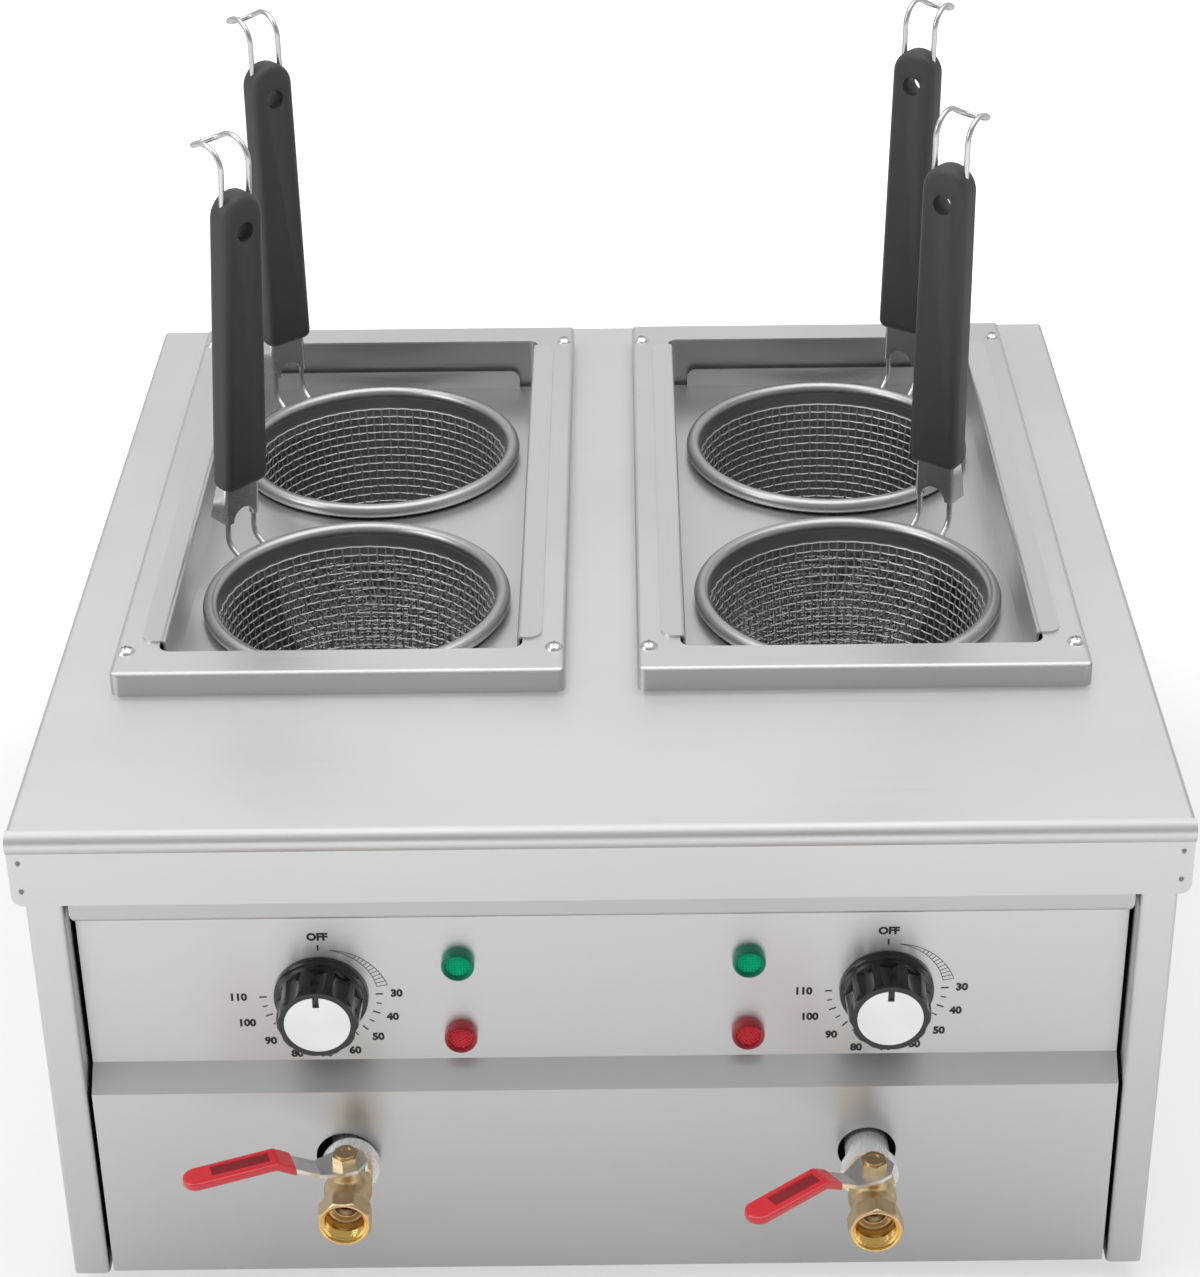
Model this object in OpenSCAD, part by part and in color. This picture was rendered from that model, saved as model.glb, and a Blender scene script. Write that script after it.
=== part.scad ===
// Two-tank electric pasta cooker for a counter, with four lift-out wire baskets.
// Millimetres, +Z up, the front faces -Y, and the origin is the middle of the whole box on the counter.

/* [Body] */
// Width of the top plate
top_w = 540; // [530:1:580]
// Depth of the top plate, from the apron to the back edge
top_d = 552; // [548:1:600]
// Height of the top surface above the foot of the posts
body_h = 264; // [260:1:290]
// Height of the rubber feet under the posts
foot_h = 12; // [9:1:20]
// Height of the apron, from the top surface down
apron_h = 39; // [34:1:42]
// Radius of the rolled front edge
roll_r = 6; // [5:0.5:7]
// How far the roll stands in front of the apron
roll_out = 2; // [1:0.5:3]
// Outside radius of the folds in the sheets
fold_r = 2.5; // [2.2:0.1:3.5]
// Thickness of the top plate's sheet
top_sheet = 1.5; // [1:0.1:2]
// Thickness of the other sheets
sheet = 1.2; // [0.8:0.1:1.5]
// How far each side panel stands in from the edge of the top
side_inset = 4.8; // [3:0.1:6]
// Width of the post at the front of each side panel
post_w = 17.5; // [15:0.5:22]
// Depth of the post's return behind its front
post_return = 16; // [14:1:22]
// How far the posts stand behind the apron
post_back = 3.2; // [2.4:0.1:4]
// Width of the inward flanges of the side panels
flange_w = 14; // [10:1:14]
// How far the back panel stands in from the back edge of the top
back_inset = 4; // [3:0.5:6]
// Height of the fold along the back edge of the top
back_skirt = 20; // [12:1:30]

/* [Front panel] */
// How far the lower panel stands behind the apron
lower_back = 4.9; // [4.5:0.1:6]
// How far the control panel is set back from the lower panel
recess = 11.3; // [10:0.1:12.5]
// Height of the foot of the sloping ledge above the foot of the posts
ledge_z = 111; // [106:1:114]
// Height of the ledge
ledge_rise = 11; // [8:1:13]
// Gap between the front panel and each post
panel_gap = 1.8; // [1:0.1:2.5]
// Depth of the fold along the foot of the front panel
panel_fold = 30; // [24:1:40]
// How far the front rail shows below the apron
rail_drop = 13.5; // [8:0.5:16]
// How far the front rail stands behind the apron
rail_back = 5.2; // [4.8:0.1:6]
// Radius of the corners of the apron and of the rail
corner_r = 5; // [3:0.5:7]

/* [Tanks] */
// Distance of each tank's middle from the middle of the body
tank_x = 128.5; // [127:0.5:132]
// Distance of the tank frames from the back edge of the top
frame_back = 23.8; // [22:0.2:26]
// Width of the raised frame round a tank
frame_w = 222; // [220:1:226]
// Length of the raised frame round a tank
frame_l = 408; // [404:1:412]
// Height of the raised frame above the top plate
frame_h = 12.5; // [11:0.5:15]
// Radius of the frame's upright corners
frame_corner = 5; // [4:0.5:7]
// Width of the frame's flat border
frame_lip = 21.5; // [20.5:0.5:22.5]
// Height of the tank floor above the foot of the posts
tank_floor = 60; // [58:1:62]
// Width of the flange at the top of the tank
tank_flange = 9; // [7:0.5:9.5]
// Radius of the tank's upright corners
tank_corner = 6; // [4:0.5:7]
// Distance of the frame screws from the frame's side edge
screw_side = 5.8; // [5.7:0.1:6.2]
// Distance of the frame screws from the frame's ends
screw_end = 22; // [16:0.5:28]
// Diameter of the screw heads
screw_head = 9.2; // [8:0.1:9.6]
// Diameter of the screw shanks
screw_d = 4; // [3:0.1:4.4]

/* [Heating and control] */
// Diameter of the heating element's tube
heater_d = 8.5; // [7:0.1:9]
// Distance between neighbouring legs of the heating element
heater_pitch = 36; // [30:1:37]
// Height of the heating element's middle above the tank floor
heater_z = 20; // [17:0.5:22]
// Distance of each knob from the middle of the body
knob_x = 134; // [126:0.5:140]
// Height of the knobs above the foot of the posts
knob_z = 160; // [158:0.5:163]
// Diameter of the knob's skirt
knob_d = 44.8; // [43:0.2:48]
// How far the knob stands out from the panel
knob_h = 22.5; // [21:0.5:26]
// Number of flutes round the knob
knob_flutes = 10; // [8:1:12]
// Diameter of the bright disc in the knob
cap_d = 31; // [28:0.5:32]
// Diameter of the thermostat shaft
shaft_d = 6; // [5:0.1:7]
// Distance of the lamps from the middle of the body
lamp_x = 68.5; // [60:0.5:80]
// How far the middle of the lamps lies below the knobs
lamp_drop = 2; // [0:0.5:4]
// Height of the power lamp above the heat lamp
lamp_pitch = 42.5; // [36:0.5:46]
// Diameter of a lamp's lens
lamp_d = 15.8; // [14:0.1:18]
// How far a lamp's lens stands out
lamp_h = 7; // [5:0.5:9]

/* [Drains] */
// Height of the drains' axis above the tank floor
drain_rise = 11.6; // [11.4:0.1:12.5]
// Distance of each drain from the middle of the body
drain_x = 126.5; // [124:0.5:129]
// How far the left drain lies from the middle of its hole, towards the middle of the body
drain_shift = 3; // [0:0.5:3]
// Outside diameter of the drain pipe
pipe_d = 21.3; // [20:0.1:22]
// Bore of the drain pipe
pipe_bore = 16; // [14:0.5:17]
// Outside diameter of the threaded socket that takes the valve
socket_d = 28; // [26:0.1:29]
// Diameter of the hole in the front panel
drain_hole = 28.4; // [28:0.1:30]
// How far the left valve's mouth stands in front of the apron
valve_out_left = 45; // [43:0.5:56]
// How far the right valve's mouth stands in front of the apron
valve_out_right = 54; // [43:0.5:60]
// Length of the valve, without its inlet thread
valve_l = 40; // [39:0.5:44]
// Distance of the stem behind the mouth of the valve
stem_back = 25; // [24:0.5:26]
// Width across the flats of the valve's eight-sided ends
valve_flats = 24.6; // [24:0.2:27]
// Bore of the valve's mouth, at the crest of its half-inch pipe thread
mouth_bore = 18.6; // [18:0.1:19.2]
// Length of the thread in the valve's mouth
mouth_l = 11; // [9:0.5:11]
// Depth of the chamfer at the valve's mouth
mouth_entry = 2; // [1:0.1:2.2]
// Diameter of the valve's ball
ball_d = 17; // [16:0.5:18]
// Diameter of the passage through the ball
ball_bore = 11; // [10:0.5:12]
// Diameter of the valve's stem
stem_d = 6; // [5:0.1:7]
// How far the left lever stands open, in degrees
lever_open_left = 21; // [0:1:60]
// How far the right lever stands open, in degrees
lever_open_right = 38; // [30:1:60]
// Length of the lever from the stem's axis to its tip
lever_l = 77; // [72:1:86]
// Width of the lever
lever_w = 11; // [9:0.5:12]
// Thickness of the lever
lever_t = 2; // [1.5:0.1:2.5]
// Thickness of the sleeve's wall
sleeve_t = 1.1; // [0.8:0.1:1.6]

/* [Racks and baskets] */
// Depth of the rack's plate below the top of the frame
rack_drop = 28.5; // [24:0.5:32]
// Gap between the rack and the tank's side walls
rack_clear = 1.5; // [1:0.1:2]
// Gap between the rack and the tank's end walls
rack_end_clear = 3.5; // [3:0.5:5]
// Width of the rack's flanges
rack_flange = 11; // [9:0.5:12]
// Length of the rack's flanges
rack_l = 348; // [330:1:354]
// Height of the folds at the rack's ends
rack_fold = 10.5; // [8:0.5:14]
// Gap between the rims of the two baskets in a rack
basket_gap = 13.2; // [9:0.2:17]
// Gap between the rims and the rack's walls
rim_gap = 6.4; // [5.4:0.2:8]
// Gap between the rims and the rack's ends
rim_end = 11.6; // [9:0.2:14]
// Diameter of the rolled bead of the rim
bead_d = 8; // [7:0.1:8.4]
// Height of the plain band below the bead
band_h = 17; // [14:1:22]
// Thickness of the band's sheet
band_t = 0.8; // [0.6:0.1:1]
// Depth of a basket below its bead
basket_depth = 125; // [115:1:128]
// Taper of the basket's wall, in degrees
basket_taper = 6; // [3:0.5:8]
// Radius of the basket's lower corner
basket_corner = 26; // [20:1:32]
// Thickness of the mesh
mesh_t = 1.2; // [1:0.1:1.6]
// Number of gaps round the mesh
mesh_columns = 24; // [20:2:30]
// Number of rows of gaps in the wall of the mesh
mesh_rows = 5; // [4:1:7]
// Width of the mesh's bars
mesh_bar = 3; // [2:0.2:4]

/* [Handles] */
// Direction of each handle from the basket's middle, front left, rear left, front right, rear right
handle_angles = [139, 131, 54, 56];
// Lean of each handle towards the basket's middle
handle_leans = [5, 0, 0, -1.5];
// Diameter of the handle's wire
wire_d = 3; // [2.6:0.1:3.6]
// Distance between the two wires
wire_gap = 18.5; // [17.5:0.1:19.5]
// Distance of the upright wires outside the rim
leg_out = 8.1; // [7.6:0.1:10]
// Height of the wires' bend above the bead
leg_rise = 5.5; // [4.5:0.1:7]
// Height of the grip's lower end above the bend
grip_low = 34; // [30:0.5:40]
// Length of the grip
grip_l = 170; // [150:1:185]
// Width of the grip at its lower end
grip_w = 29; // [28.5:0.2:32]
// Width of the grip at its upper end
grip_top_w = 26.4; // [26:0.2:28]
// Thickness of the grip
grip_t = 14.5; // [12:0.5:17]
// Diameter of the hole for hanging
hang_d = 10.5; // [8:0.5:11]
// Distance of the hole for hanging below the grip's upper end
hang_drop = 20; // [16:0.5:30]
// Height of the clip below the grip
clip_h = 21; // [16:0.5:24]
// Thickness of the clip's sheet
clip_t = 1; // [0.8:0.1:1.2]
// How far the clip's side flanges stand out
clip_out = 11; // [8:0.5:13]
// Height of the straight wire above the grip
hook_rise = 15; // [8:0.5:22]
// Radius of the hook's bend
hook_r = 12; // [8:0.5:16]
// Sweep of the hook's bend, in degrees
hook_sweep = 120; // [100:5:140]

/* [Hidden] */
$fn = 64;
// Clearances and cutting allowance
run_fit = 0.05;
seat_gap = 0.3;
slip = 0.1;
cut = 1;

// Levels and planes that the pieces share
body_w = top_w - 2 * side_inset;
panel_w = body_w - 2 * post_w - 2 * panel_gap;
deck = foot_h + body_h;
under = deck - top_sheet;
frame_top = deck + frame_h;
lip_z = frame_top - sheet;
floor_z = foot_h + tank_floor;
drain_z = floor_z + drain_rise;
rack_z = frame_top - rack_drop;
control_back = lower_back + recess;
tank_back = top_d - frame_back - frame_l / 2;
open_w = frame_w - 2 * frame_lip;
open_l = frame_l - 2 * frame_lip;

// Valves and levers, left then right
sides = [-1, 1];
valve_out = [valve_out_left, valve_out_right];
lever_open = [lever_open_left, lever_open_right];
lever_flat = 14.5;
lever_ramp = 20;
lever_rise = 12.5;
lever_mitre = tan(atan2(lever_rise, lever_ramp) / 2);
sleeve_w = lever_w + 2 * sleeve_t;
spigot_l = 6.5;
spigot_d = pipe_d - 0.4;
stem_top = 16;
shell_r = ball_d / 2 + 3.1;
lever_tail = 9.5;
tail_w = 8;
nut_h = 4.4;
function drain_at(i) = sides[i] * drain_x + (i == 0 ? drain_shift : 0);

// Reach of the levers in front of the apron, and of the cable gland behind the top
gland_l = 22;
function lever_reach(i) =
    valve_out[i] - stem_back + (lever_l + sleeve_t - sleeve_w / 2) * sin(lever_open[i]) + sleeve_w / 2;
reach_front = max(lever_reach(0), lever_reach(1), valve_out[0], valve_out[1]);
reach_back = gland_l - back_inset;
apron_y = (reach_front - top_d - reach_back) / 2;
back_y = apron_y + top_d;
rear_y = back_y - back_inset - sheet;
post_y = apron_y + post_back;
control_y = apron_y + control_back;
tank_y = apron_y + tank_back;
tank_front = tank_y - open_l / 2;
tank_rear = tank_y + open_l / 2;

// Base, feet and vents
base_front = post_y + post_return + seat_gap;
base_w = body_w - 2 * sheet - 2 * seat_gap;
foot_x = body_w / 2 - 42;
foot_d = 34;
foot_clear = 2;
foot_y = [apron_y + lower_back + panel_fold + foot_d / 2 + foot_clear, back_y - 50];
vent_w = 70;
vent_r = 6;
gland_in = 75.2;
gland_x = body_w / 2 - gland_in;
gland_z = foot_h + 60;
gland_bore = 9;
gland_thread = gland_bore + 7;

// Controls
bushing_d = 10;
bushing_out = 3;
knob_gap = 0.8;
shaft_short = 6;
shaft_in = 10;
shaft_flat_z = 7;
cap_t = 1.2;
lamp_body_d = 12;
lamp_z = knob_z - lamp_drop;
sensor_d = 6;
sensor_hole_d = sensor_d + 4;
sensor_x = open_w / 2 - 10;
sensor_z = floor_z + 40;

// Baskets: front left, rear left, front right, rear right
rack_half_w = open_w / 2 - rack_clear - sheet;
rack_half_l = open_l / 2 - rack_end_clear;
rim_r = min(rack_half_w - rim_gap, (rack_half_l - rim_end - basket_gap / 2) / 2);
basket_pitch = 2 * rim_r + basket_gap;
band_r = rim_r - bead_d + 1.6;
hole_r = band_r + 1;
bead_z = rack_z + seat_gap + bead_d / 2;
mesh_r = band_r - band_t - run_fit;
mesh_lap = 8;
leg_r = rim_r + leg_out;
grip_round = 5;
function basket_side(i) = i < 2 ? -1 : 1;
function basket_y(i) = tank_y + (i % 2 == 0 ? -1 : 1) * basket_pitch / 2;

// Outline of the mesh, as radius and height, for a sheet that lies the given depth inside the outer face
corner_z = -basket_depth + basket_corner;
tangent_z = corner_z - basket_corner * sin(basket_taper);
corner_r0 = mesh_r - basket_corner * cos(basket_taper) + (tangent_z + band_h - mesh_lap) * tan(basket_taper);
corner_steps = 8;
function corner_at(depth, a) =
    [corner_r0 + (basket_corner - depth) * cos(a), corner_z - (basket_corner - depth) * sin(a)];
function mesh_side(depth) = concat(
    [[mesh_r - depth / cos(basket_taper), -band_h + mesh_lap]],
    [for (k = [0:corner_steps]) corner_at(depth, basket_taper + (90 - basket_taper) * k / corner_steps)],
    [[0, -basket_depth + depth]]);
function reversed(list) = [for (k = [len(list) - 1:-1:0]) list[k]];
function wall_r(z) = mesh_r + (z + band_h - mesh_lap) * tan(basket_taper);

// Shapes that several pieces use

// Block between two corners
module slab(low, high) {
    translate(low) cube(high - low);
}

// Flat shape in Y and Z, drawn out along X
module along_x(w) {
    rotate([90, 0, 90]) linear_extrude(w, center = true) children();
}

// Flat shape in X and Z, drawn out along +Y from the plane y
module along_y(y, t) {
    translate([0, y + t, 0]) rotate([90, 0, 0]) linear_extrude(t) children();
}

// Round bar between two points
module rod(a, b, d) {
    v = b - a;
    l = norm(v);
    translate(a) rotate([0, acos(v.z / l), atan2(v.y, v.x)]) cylinder(h = l, d = d);
}

// Rectangle about the origin with round corners
module round_rect(w, l, r) {
    square([w - 2 * r, l], center = true);
    square([w, l - 2 * r], center = true);
    for (x = [-1, 1], y = [-1, 1])
        translate([x * (w / 2 - r), y * (l / 2 - r)]) circle(r);
}

// Strip that hangs from y = 0 with round lower corners
module hanging_strip(w, h, r) {
    translate([-w / 2, r - h]) square([w, h - r]);
    translate([r - w / 2, -h]) square([w - 2 * r, h]);
    for (x = [-1, 1])
        translate([x * (w / 2 - r), r - h]) circle(r);
}

// Strip that stands on y = 0 with round upper corners
module standing_strip(w, h, r) {
    mirror([0, 1]) hanging_strip(w, h, r);
}

// Section of a fold: one leg along +X, the other along -Y, with the outside of the bend at the origin
module fold(x_leg, y_leg, t) {
    difference() {
        fold_block(x_leg, y_leg, fold_r);
        translate([t, -t]) fold_block(x_leg, y_leg, fold_r - t);
    }
}

// Rectangle below and right of the origin, with that corner round
module fold_block(w, h, r) {
    translate([r, -h]) square([w - r, h]);
    translate([0, -h]) square([w, h - r]);
    translate([r, -r]) circle(r);
}

// Slot with round ends, drawn out through a sheet
module slot(l, d, h) {
    linear_extrude(h, center = true) {
        square([l - d, d], center = true);
        for (x = [-1, 1])
            translate([x * (l - d) / 2, 0]) circle(d = d);
    }
}

// Round-headed screw whose head sits on z = 0
module screw(l) {
    head_h = 2.6;
    dome_r = (head_h * head_h + screw_head * screw_head / 4) / (2 * head_h);
    difference() {
        union() {
            intersection() {
                translate([0, 0, head_h - dome_r]) sphere(dome_r);
                cylinder(h = head_h, d = screw_head + 2);
            }
            translate([0, 0, -l]) cylinder(h = l, d = screw_d);
        }
        for (a = [0, 90])
            rotate(a) translate([-screw_head / 4, -0.4, head_h - 1]) cube([screw_head / 2, 0.8, 2]);
    }
}

// Body

module top_plate() {
    roll_y = apron_y - roll_out + roll_r;
    roll_z = deck - roll_r;
    skirt_h = apron_h - corner_r;
    dimple_r = 3.2;
    dimple_depth = 0.45;
    dimple_drops = [15.5, 31];
    color("gainsboro") difference() {
        union() {
            translate([0, 0, deck - skirt_h]) along_y(roll_y, top_d - roll_y + apron_y) difference() {
                standing_strip(top_w, skirt_h, fold_r);
                translate([0, -cut])
                    standing_strip(top_w - 2 * top_sheet, skirt_h - top_sheet + cut, fold_r - top_sheet);
            }
            along_x(top_w) intersection() {
                translate([roll_y, roll_z]) circle(roll_r);
                union() {
                    translate([roll_y - 2 * roll_r, roll_z]) square(2 * roll_r);
                    translate([apron_y + top_sheet - 2 * roll_r, roll_z - roll_r])
                        square([2 * roll_r, roll_r + cut]);
                }
            }
            translate([0, 0, roll_z])
                along_y(apron_y, top_sheet) hanging_strip(top_w, apron_h - roll_r, corner_r);
            for (x = [-1, 1])
                slab([x * top_w / 2 - (x > 0 ? top_sheet : 0), apron_y, deck - skirt_h],
                     [x * top_w / 2 + (x < 0 ? top_sheet : 0), back_y, roll_z]);
            slab([top_sheet - top_w / 2, back_y - top_sheet, deck - back_skirt],
                 [top_w / 2 - top_sheet, back_y, under]);
        }
        along_x(top_w - 2 * top_sheet) intersection() {
            translate([roll_y, roll_z]) circle(roll_r - top_sheet);
            translate([roll_y - 2 * roll_r, roll_z - 2 * roll_r]) square([2 * roll_r, 4 * roll_r]);
        }
        for (s = sides) {
            translate([s * tank_x, tank_y, under - cut])
                linear_extrude(top_sheet + 2 * cut)
                    round_rect(open_w + 2 * sheet + 1, open_l + 2 * sheet + 1, tank_corner + sheet);
            for (x = [-1, 1], y = [-1, 1])
                translate([s * tank_x, tank_y, under - cut]) at_frame_screw(x, y)
                    cylinder(h = top_sheet + 2 * cut, d = screw_d + 2 * slip);
            for (z = dimple_drops)
                translate([s * (top_w / 2 - corner_r), apron_y + dimple_depth - dimple_r, deck - z])
                    sphere(dimple_r);
        }
    }
}

module side_panel(s) {
    wall_y = post_y + post_return;
    color("silver") mirror([s < 0 ? 1 : 0, 0, 0]) union() {
        translate([0, 0, foot_h]) linear_extrude(under - seat_gap - foot_h) {
            translate([body_w / 2 - post_w / 2, wall_y]) difference() {
                hanging_strip(post_w, post_return, fold_r);
                translate([0, cut])
                    hanging_strip(post_w - 2 * sheet, post_return - sheet + cut, fold_r - sheet);
            }
            translate([body_w / 2 - sheet, wall_y - fold_r]) square([sheet, rear_y - wall_y + fold_r]);
            translate([body_w / 2 - flange_w, rear_y - sheet]) square([flange_w, sheet]);
        }
        for (z = [foot_h, under - sheet])
            slab([body_w / 2 - flange_w, wall_y - sheet, z], [body_w / 2, rear_y, z + sheet]);
    }
}

// Places of the louvres and of the fixing screws on the back panel
vent_x = [for (k = [-1:1]) k * body_w / 4];
vent_pitch = 16;
vent_z = [for (k = [0:4]) foot_h + body_h / 2 - 12 + vent_pitch * k];
screw_margin = 32;
screw_z = [screw_margin, body_h / 2, body_h - screw_margin];
back_screws = [for (x = [-1, 1], z = screw_z) [x * (body_w / 2 - flange_w / 2), foot_h + z]];

module back_panel() {
    color("silver") difference() {
        union() {
            slab([-body_w / 2, rear_y, foot_h], [body_w / 2, rear_y + sheet, under - seat_gap]);
            for (x = vent_x, z = vent_z)
                translate([x, rear_y + sheet, z]) louvre();
        }
        for (x = vent_x, z = vent_z)
            slab([x - vent_w / 2 + sheet, rear_y - cut, z],
                 [x + vent_w / 2 - sheet, rear_y + sheet, z + vent_r - sheet]);
        through_back(gland_x, gland_z, gland_thread);
        for (p = back_screws)
            through_back(p.x, p.y, screw_d);
    }
}

// Round hole through the back panel, with room to slip in what goes through it
module through_back(x, z, d) {
    translate([x, rear_y - cut, z]) rotate([-90, 0, 0]) cylinder(h = sheet + 2 * cut, d = d + 2 * slip);
}

// Pressed hood of a vent, open along its lower edge
module louvre() {
    difference() {
        intersection() {
            rotate([0, 90, 0]) cylinder(h = vent_w, r = vent_r, center = true);
            slab([-vent_w, 0, 0], [vent_w, vent_r, vent_r]);
        }
        rotate([0, 90, 0]) cylinder(h = vent_w - 2 * sheet, r = vent_r - sheet, center = true);
    }
}

module base_plate() {
    color("silver") difference() {
        slab([-base_w / 2, base_front, foot_h + sheet],
             [base_w / 2, rear_y - sheet - seat_gap, foot_h + 2 * sheet]);
        for (x = [-1, 1], y = foot_y)
            translate([x * foot_x, y, foot_h]) cylinder(h = 4 * sheet, d = screw_d + 2 * slip);
        for (x = [-3:3], s = sides)
            translate([s * tank_x + 20 * x, tank_y, foot_h]) rotate(90) slot(120, 8, 8 * sheet);
    }
}

module front_panel() {
    low = apron_y + lower_back;
    mitre = sheet * tan(atan2(recess, ledge_rise) / 2);
    foot = foot_h;
    ledge = foot_h + ledge_z;
    head = under - seat_gap;
    color("silver") difference() {
        along_x(panel_w) polygon([
            [low, foot], [low, ledge], [control_y, ledge + ledge_rise], [control_y, head],
            [control_y + sheet, head], [control_y + sheet, ledge + ledge_rise - mitre],
            [low + sheet, ledge - mitre], [low + sheet, foot + sheet],
            [low + panel_fold, foot + sheet], [low + panel_fold, foot]]);
        for (s = sides) {
            through_front(s * drain_x, drain_z, drain_hole);
            through_front(s * knob_x, foot_h + knob_z, bushing_d + 2 * slip);
            for (z = [-1, 1])
                through_front(s * lamp_x, foot_h + lamp_z + z * lamp_pitch / 2, lamp_body_d + 2 * slip);
        }
    }
}

// Round hole through the front panel
module through_front(x, z, d) {
    translate([x, apron_y, z]) rotate([-90, 0, 0]) cylinder(h = control_back + 2 * sheet + cut, d = d);
}

module front_rail() {
    low = deck - apron_h - rail_drop;
    front = apron_y + rail_back;
    depth = control_y - seat_gap - front;
    color("silver") union() {
        intersection() {
            translate([0, front, low])
                along_x(panel_w) mirror([0, 1]) fold(depth, under - low, sheet);
            translate([0, 0, under])
                along_y(front - cut, depth + 2 * cut) hanging_strip(panel_w, under - low, corner_r);
        }
        slab([-panel_w / 2, front, under - sheet], [panel_w / 2, front + depth, under]);
    }
}

module rubber_feet() {
    color("dimgray") for (x = [-1, 1], y = foot_y)
        translate([x * foot_x, y, 0]) difference() {
            cylinder(h = foot_h + sheet, d1 = foot_d - 4, d2 = foot_d);
            translate([0, 0, -cut]) cylinder(h = foot_h / 2 + cut, d = screw_head + 1);
            cylinder(h = foot_h + 2 * sheet, d = screw_d + 2 * slip);
        }
}

// Screws of the back panel and of the feet
module panel_screws() {
    foot_seat = foot_h / 2;
    color("gainsboro") {
        for (p = back_screws)
            translate([p.x, rear_y + sheet, p.y]) rotate([-90, 0, 0]) screw(sheet);
        for (x = [-1, 1], y = foot_y)
            translate([x * foot_x, y, foot_seat]) rotate([180, 0, 0]) screw(foot_h - foot_seat + 2 * sheet);
    }
}

// Tanks and what heats them

module tank(s) {
    color("silver") translate([s * tank_x, tank_y, 0]) difference() {
        union() {
            translate([0, 0, floor_z - sheet])
                linear_extrude(lip_z - floor_z + sheet)
                    round_rect(open_w + 2 * sheet, open_l + 2 * sheet, tank_corner + sheet);
            translate([0, 0, lip_z - sheet])
                linear_extrude(sheet)
                    round_rect(open_w + 2 * tank_flange, open_l + 2 * tank_flange, tank_corner + tank_flange);
        }
        translate([0, 0, floor_z])
            linear_extrude(lip_z) round_rect(open_w, open_l, tank_corner);
        end_hole(drain_at(s < 0 ? 0 : 1) - s * tank_x, drain_z, -1, pipe_d);
        end_hole(s * sensor_x, sensor_z, -1, sensor_hole_d);
        for (x = [-1.5, 1.5])
            end_hole(x * heater_pitch, floor_z + heater_z, 1, heater_d);
    }
}

// Hole through the tank's front wall, -1, or rear wall, 1
module end_hole(x, z, end, d) {
    translate([x, end * (open_l / 2 + sheet / 2), z]) rotate([90, 0, 0])
        cylinder(h = 2 * sheet, d = d + 2 * slip, center = true);
}

// Block that stands on z = 0, with its four upper edges and its upright corners round
module lid_block(w, l, h, r, corner) {
    intersection() {
        along_x(w + 2 * cut) standing_strip(l, h, r);
        along_y(-l / 2 - cut, l + 2 * cut) standing_strip(w, h, r);
        translate([0, 0, -cut]) linear_extrude(h + 2 * cut) round_rect(w, l, corner);
    }
}

module tank_frame(s) {
    color("gainsboro") translate([s * tank_x, tank_y, deck]) difference() {
        lid_block(frame_w, frame_l, frame_h, fold_r, frame_corner);
        translate([0, 0, -cut])
            lid_block(frame_w - 2 * sheet, frame_l - 2 * sheet, frame_h - sheet + cut,
                      fold_r - sheet, frame_corner - sheet);
        linear_extrude(frame_h + cut) round_rect(open_w, open_l, tank_corner);
        for (x = [-1, 1], y = [-1, 1])
            at_frame_screw(x, y) cylinder(h = frame_h + cut, d = screw_d + 2 * slip);
    }
}

// Places children at a corner screw of a frame
module at_frame_screw(x, y) {
    translate([x * (frame_w / 2 - screw_side), y * (frame_l / 2 - screw_end), 0]) children();
}

module frame_screws() {
    color("gainsboro") for (s = sides, x = [-1, 1], y = [-1, 1])
        translate([s * tank_x, tank_y, frame_top]) at_frame_screw(x, y) screw(frame_h + 3 * top_sheet);
}

// Tube bent into four legs, with its ends and nuts in the tank's rear wall
module heating_elements() {
    nut_d = 18;
    nut_t = 5;
    front = -open_l / 2 + 45;
    rear = open_l / 2 - 45;
    tail = open_l / 2 + sheet + 14;
    color("gray") for (s = sides)
        translate([s * tank_x, tank_y, floor_z + heater_z]) {
            for (k = [-1.5:1.5]) {
                outer = abs(k) > 1;
                rod([k * heater_pitch, front, 0], [k * heater_pitch, outer ? tail : rear, 0], heater_d);
            }
            for (x = [-1, 1]) {
                translate([x * heater_pitch, front, 0]) rotate(180) half_turn(heater_pitch / 2, heater_d);
                for (y = [open_l / 2 - nut_t, open_l / 2 + sheet])
                    translate([x * 1.5 * heater_pitch, y, 0])
                        rotate([-90, 0, 0]) cylinder(h = nut_t, d = nut_d, $fn = 6);
                rod([x * 1.5 * heater_pitch, tail, 0], [x * 1.5 * heater_pitch, tail + 9, 0], heater_d / 2);
            }
            translate([0, rear, 0]) half_turn(heater_pitch / 2, heater_d);
        }
}

// Half a ring of round bar, on the +Y side
module half_turn(r, d) {
    rotate_extrude(angle = 180) translate([r, 0]) circle(d = d);
}

// Bulb through the tank's front wall, with its thin tube to the thermostat
module sensor_bulbs() {
    bulb_l = 80;
    tube_d = 2;
    knuckle_d = tube_d + 0.3;
    bushing_l = 13;
    out = 8;
    nut_t = 6;
    mid_y = (control_y + sheet + thermostat_size.y + tank_front) / 2;
    start_y = tank_front - sheet;
    color("darkgoldenrod") for (s = sides) {
        x = s * (tank_x + sensor_x);
        bend = [x, mid_y, sensor_z];
        rise = [s * knob_x, mid_y, foot_h + knob_z];
        union() {
            rod([x, start_y, sensor_z], [x, start_y + bulb_l, sensor_z], sensor_d);
            rod([x, start_y - out, sensor_z], [x, start_y - out + bushing_l, sensor_z], sensor_hole_d);
            translate([x, start_y - nut_t, sensor_z])
                rotate([-90, 0, 0]) cylinder(h = nut_t, d = sensor_hole_d + 5, $fn = 6);
            rod([x, start_y - out + 1, sensor_z], bend, tube_d);
            translate(bend) sphere(d = knuckle_d);
            rod(bend, rise, tube_d);
            translate(rise) sphere(d = knuckle_d);
            rod(rise, [s * knob_x, control_y + sheet + thermostat_size.y, foot_h + knob_z], tube_d);
        }
    }
}

thermostat_size = [44, 32, 36];

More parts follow.
